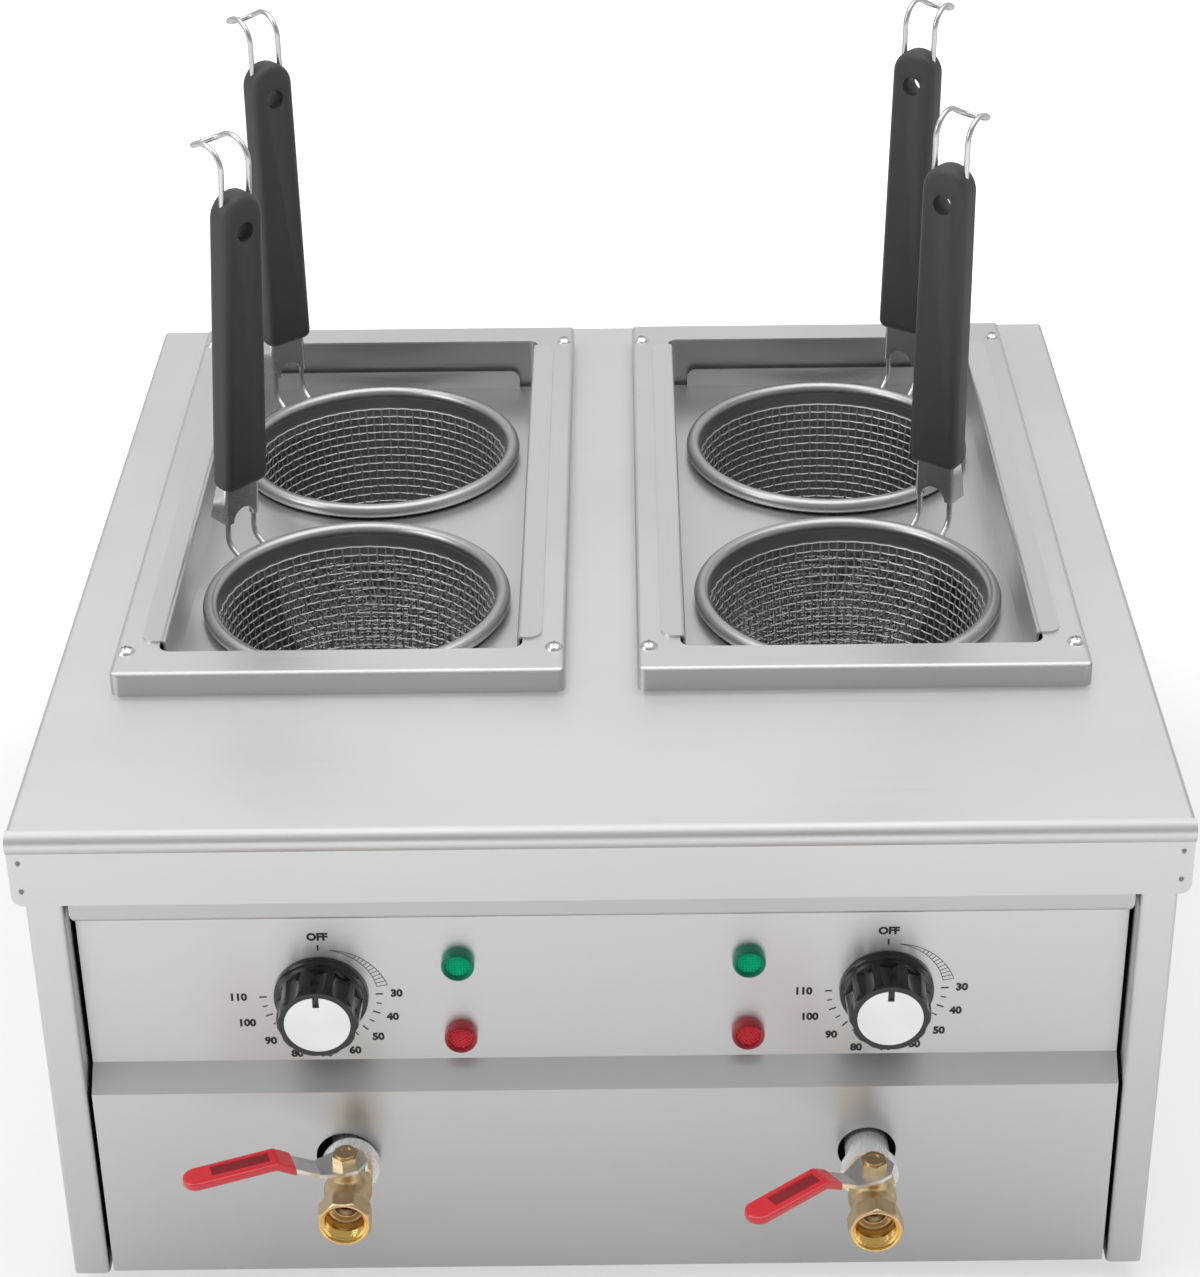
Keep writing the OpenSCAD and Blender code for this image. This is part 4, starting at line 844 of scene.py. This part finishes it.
# Basket rims and cups
# A rolled steel rim with a band below it holds a tapered cup of woven stainless wire.
# Uprights and rings make the wall of the cup, and a square grid makes its floor.
rim_steel = brushed("rim_steel", 0.47, 0.36, (300, 300, 300), (0, 0, 1), anisotropy=0.0, relief=0.04)
mesh_steel = brushed("mesh_steel", 0.56, 0.45, (500, 500, 500), (0, 0, 1), anisotropy=0.0, relief=0.0,
                     metallic=0.6)

wall_top = (73.1, -9.0)
taper = math.radians(6)
cup_depth = 124.4
cup_corner = 25.4
weave_t = 0.95
meridians = 96


def mesh_from(name, curve):
    """Turns a curve into a mesh piece."""
    piece = bpy.data.objects.new(name, curve)
    scene.collection.objects.link(piece)
    choose(piece)
    bpy.ops.object.convert(target="MESH")
    return bpy.context.object


def wires(name, paths, thickness, closed=False, sides=1):
    """Bends a wire along each path and gives them all as one mesh."""
    curve = bpy.data.curves.new(name, "CURVE")
    curve.dimensions = "3D"
    curve.bevel_depth = thickness / 2
    curve.bevel_resolution = sides
    curve.use_fill_caps = True
    for path in paths:
        line = curve.splines.new("POLY")
        line.points.add(len(path) - 1)
        for point, place in zip(line.points, path):
            point.co = (*place, 1)
        line.use_cyclic_u = closed
    return mesh_from(name, curve)


def cup_line():
    """Radius, height and outward direction along the cup's wall, from the band down and in to the floor."""
    corner_low = -cup_depth + cup_corner
    wall_low = corner_low - cup_corner * math.sin(taper)
    wall_r = wall_top[0] + (wall_low - wall_top[1]) * math.tan(taper)
    centre_r = wall_r - cup_corner * math.cos(taper)
    stations = []
    wall_rows = 19
    for row in range(wall_rows):
        z = wall_top[1] + (wall_low - wall_top[1]) * row / wall_rows
        radius = wall_top[0] + (z - wall_top[1]) * math.tan(taper)
        stations.append((radius, z, math.cos(taper), -math.sin(taper)))
    corner_rows = 7
    for row in range(corner_rows + 1):
        turn = taper + (math.pi / 2 - taper) * row / corner_rows
        stations.append((centre_r + cup_corner * math.cos(turn), corner_low - cup_corner * math.sin(turn),
                         math.cos(turn), -math.sin(turn)))
    return stations, centre_r


stations, floor_r = cup_line()
half = weave_t * 0.5
upright_paths = []
for count in range(meridians):
    turn = 2 * math.pi * count / meridians
    path = []
    for row, (radius, z, out_r, out_z) in enumerate(stations):
        bow = half if (count + row) % 2 else -half
        reach = radius - half + bow * out_r
        path.append((reach * math.cos(turn) * MM, reach * math.sin(turn) * MM, (z + bow * out_z) * MM))
    upright_paths.append(path)
ring_paths = []
for row, (radius, z, out_r, out_z) in enumerate(stations):
    path = []
    for count in range(meridians):
        turn = 2 * math.pi * count / meridians
        bow = -half if (count + row) % 2 else half
        reach = radius - half + bow * out_r
        path.append((reach * math.cos(turn) * MM, reach * math.sin(turn) * MM, (z + bow * out_z) * MM))
    ring_paths.append(path)
floor_paths = []
floor_pitch = 4.6
floor_count = int(floor_r / floor_pitch)
for line in range(-floor_count, floor_count + 1):
    offset = line * floor_pitch
    reach = math.sqrt(max(floor_r ** 2 - offset ** 2, 0))
    ends = int(reach / floor_pitch)
    for swap in (False, True):
        path = []
        for step in range(-ends, ends + 1):
            bow = half if (line + step + swap) % 2 else -half
            place = (step * floor_pitch, offset) if swap else (offset, step * floor_pitch)
            path.append((place[0] * MM, place[1] * MM, (-cup_depth + half + bow) * MM))
        if len(path) > 1:
            floor_paths.append(path)
cup_form = join("cup_form", [
    wires("uprights", upright_paths, weave_t * MM, sides=0),
    wires("rings", ring_paths, weave_t * MM, closed=True, sides=0),
    wires("floor_grid", floor_paths, weave_t * MM, sides=0)])
smooth(cup_form, 60)

# Handle wires
# Two sprung steel wires are welded to each rim, bend upright and join in a bow that hooks outwards.
# They are laid out in the handle's own frame, with +X away from the basket and +Z up the handle.
wire_steel = brushed("wire_steel", 0.58, 0.3, (300, 300, 300), (0, 0, 1), anisotropy=0.0, relief=0.0)
leg_out = 8.1
leg_rise = 5.5
wire_d = 3.0
wire_gap = 18.5
leg_top = 216.0
hook_r = 12.0
hook_sweep = math.radians(120)


def bend(before, corner, after, radius, steps=6):
    """Points of a round bend of a given radius between two straight runs."""
    first = (Vector(before) - Vector(corner)).normalized()
    second = (Vector(after) - Vector(corner)).normalized()
    angle = first.angle(second)
    run = radius / math.tan(angle / 2)
    middle = Vector(corner) + (first + second).normalized() * radius / math.sin(angle / 2)
    start = Vector(corner) + first * run - middle
    end = Vector(corner) + second * run - middle
    return [middle + start.slerp(end, step / steps) * radius for step in range(steps + 1)]


def handle_path(lean):
    """Middle line of the two wires and their hook, from one weld on the rim to the other."""
    slope = math.atan2(leg_rise, leg_out) - math.radians(lean)
    reach = math.hypot(leg_out, leg_rise) + 1.2
    weld = Vector((-reach * math.cos(slope), 0, -reach * math.sin(slope)))
    side = [weld] + bend(weld, (0, 0, 0), (0, 0, 50), 8.0)
    hook_steps = 12
    for step in range(hook_steps + 1):
        turn = hook_sweep * step / hook_steps
        side.append(Vector((hook_r * (1 - math.cos(turn)), 0, leg_top + hook_r * math.sin(turn))))
    onward = Vector((math.sin(hook_sweep), 0, math.cos(hook_sweep)))
    tip = side[-1]
    path = [point + Vector((0, -wire_gap / 2, 0)) for point in side]
    bow_steps = 12
    for step in range(1, bow_steps):
        turn = math.pi * step / bow_steps
        forward = onward * (wire_gap / 2 * math.sin(turn))
        sideways = Vector((0, -wire_gap / 2 * math.cos(turn), 0))
        path.append(tip + forward + sideways)
    path += [point + Vector((0, wire_gap / 2, 0)) for point in reversed(side)]
    return [point * MM for point in path]


# Grips
# Black moulded plastic grips enclose both wires and have a hole near the top for hanging.
# Each is drawn flat as its outline, then thickened with round edges.
grip_plastic = moulded("grip_plastic", (0.05, 0.05, 0.053), 0.5, 0.0007, 0.25)
grip_low = 34.0
grip_l = 170.0
grip_w = 29.0
grip_top_w = 26.4
grip_t = 14.5
grip_edge = 4.2
hang_d = 10.5
hang_drop = 20.0


def grip_shape():
    """The grip in its own plane: width along X, length along Y."""
    curve = bpy.data.curves.new("grip_form", "CURVE")
    curve.dimensions = "2D"
    curve.fill_mode = "BOTH"
    curve.extrude = (grip_t / 2 - grip_edge) * MM
    curve.bevel_depth = grip_edge * MM
    curve.bevel_resolution = 5
    curve.offset = -grip_edge * MM
    head = grip_top_w / 2
    foot_round = 5.0
    foot = [(grip_w / 2 - foot_round + foot_round * math.sin(t), foot_round - foot_round * math.cos(t))
            for t in (math.pi / 2 * k / 5 for k in range(6))]
    crown = [(head * math.cos(t), grip_l - head + head * math.sin(t))
             for t in (math.pi * k / 24 for k in range(25))]
    outline = foot + crown + [(-x, y) for x, y in reversed(foot)]
    line = curve.splines.new("POLY")
    line.points.add(len(outline) - 1)
    for point, place in zip(line.points, outline):
        point.co = (place[0] * MM, (place[1] + grip_low) * MM, 0, 1)
    line.use_cyclic_u = True
    piece = mesh_from("grip_form", curve)
    piece.data.transform(Matrix(((0, 0, 1, 0), (1, 0, 0, 0), (0, 1, 0, 0), (0, 0, 0, 1))))
    bpy.ops.object.mode_set(mode="EDIT")
    bpy.ops.mesh.select_all(action="SELECT")
    bpy.ops.mesh.remove_doubles(threshold=0.00001)
    bpy.ops.mesh.normals_make_consistent(inside=False)
    bpy.ops.object.mode_set(mode="OBJECT")
    bpy.ops.object.select_all(action="DESELECT")
    bpy.ops.mesh.primitive_cylinder_add(
        vertices=48, radius=hang_d / 2 * MM, depth=2 * grip_t * MM, rotation=(0, math.pi / 2, 0),
        location=(0, 0, (grip_low + grip_l - hang_drop) * MM))
    cutter = bpy.context.object
    apply_modifier(piece, "BOOLEAN", operation="DIFFERENCE", object=cutter, solver="EXACT")
    bpy.data.objects.remove(cutter)
    apply_modifier(piece, "BEVEL", width=0.4 * MM, segments=2, limit_method="ANGLE",
                   angle_limit=math.radians(50))
    smooth(piece, 35)
    return piece


grip_form = grip_shape()

# Baskets put together
# The rim holds the cup, and a folded clip keeps the welded wires apart below the grip.
# The baskets aren't set down alike, so each handle has its own direction and lean.
clip_steel = brushed("clip_steel", 0.74, 0.26, (300, 300, 300), (0, 0, 1), anisotropy=0.0, relief=0.0)
corners = ("front_left", "rear_left", "front_right", "rear_right")
handle_angle = {"front_left": 139, "rear_left": 131, "front_right": 54, "rear_right": 56}
handle_lean = {"front_left": 5, "rear_left": 0, "front_right": 0, "rear_right": -1.5}
bead_d = 8.0
rim_r = 80.4
for corner in corners:
    low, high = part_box("basket_rim_" + corner)
    body = corner + "_basket"
    middle = Matrix.Translation(((low.x + high.x) / 2, (low.y + high.y) / 2, high.z - bead_d / 2 * MM))
    stand = (middle @ Matrix.Rotation(math.radians(handle_angle[corner]), 4, "Z")
             @ Matrix.Translation(((rim_r + leg_out) * MM, 0, leg_rise * MM))
             @ Matrix.Rotation(math.radians(-handle_lean[corner]), 4, "Y"))
    dress(rim_steel, "basket_rim_" + corner)
    cup = twin(cup_form, "woven_cup_" + corner, middle)
    finished(cup, mesh_steel, body, "mesh_steel", "basket_mesh_" + corner)
    bent = wires("bent_wires_" + corner, [handle_path(handle_lean[corner])], wire_d * MM, sides=4)
    bent.data.transform(stand)
    smooth(bent, 60)
    finished(bent, wire_steel, body, "wire_steel", "handle_wire_" + corner)
    dress(clip_steel, "handle_clip_" + corner)
    grip = twin(grip_form, "moulded_grip_" + corner, stand)
    finished(grip, grip_plastic, body, "grip_plastic", "grip_" + corner)
bpy.data.objects.remove(cup_form)
bpy.data.objects.remove(grip_form)
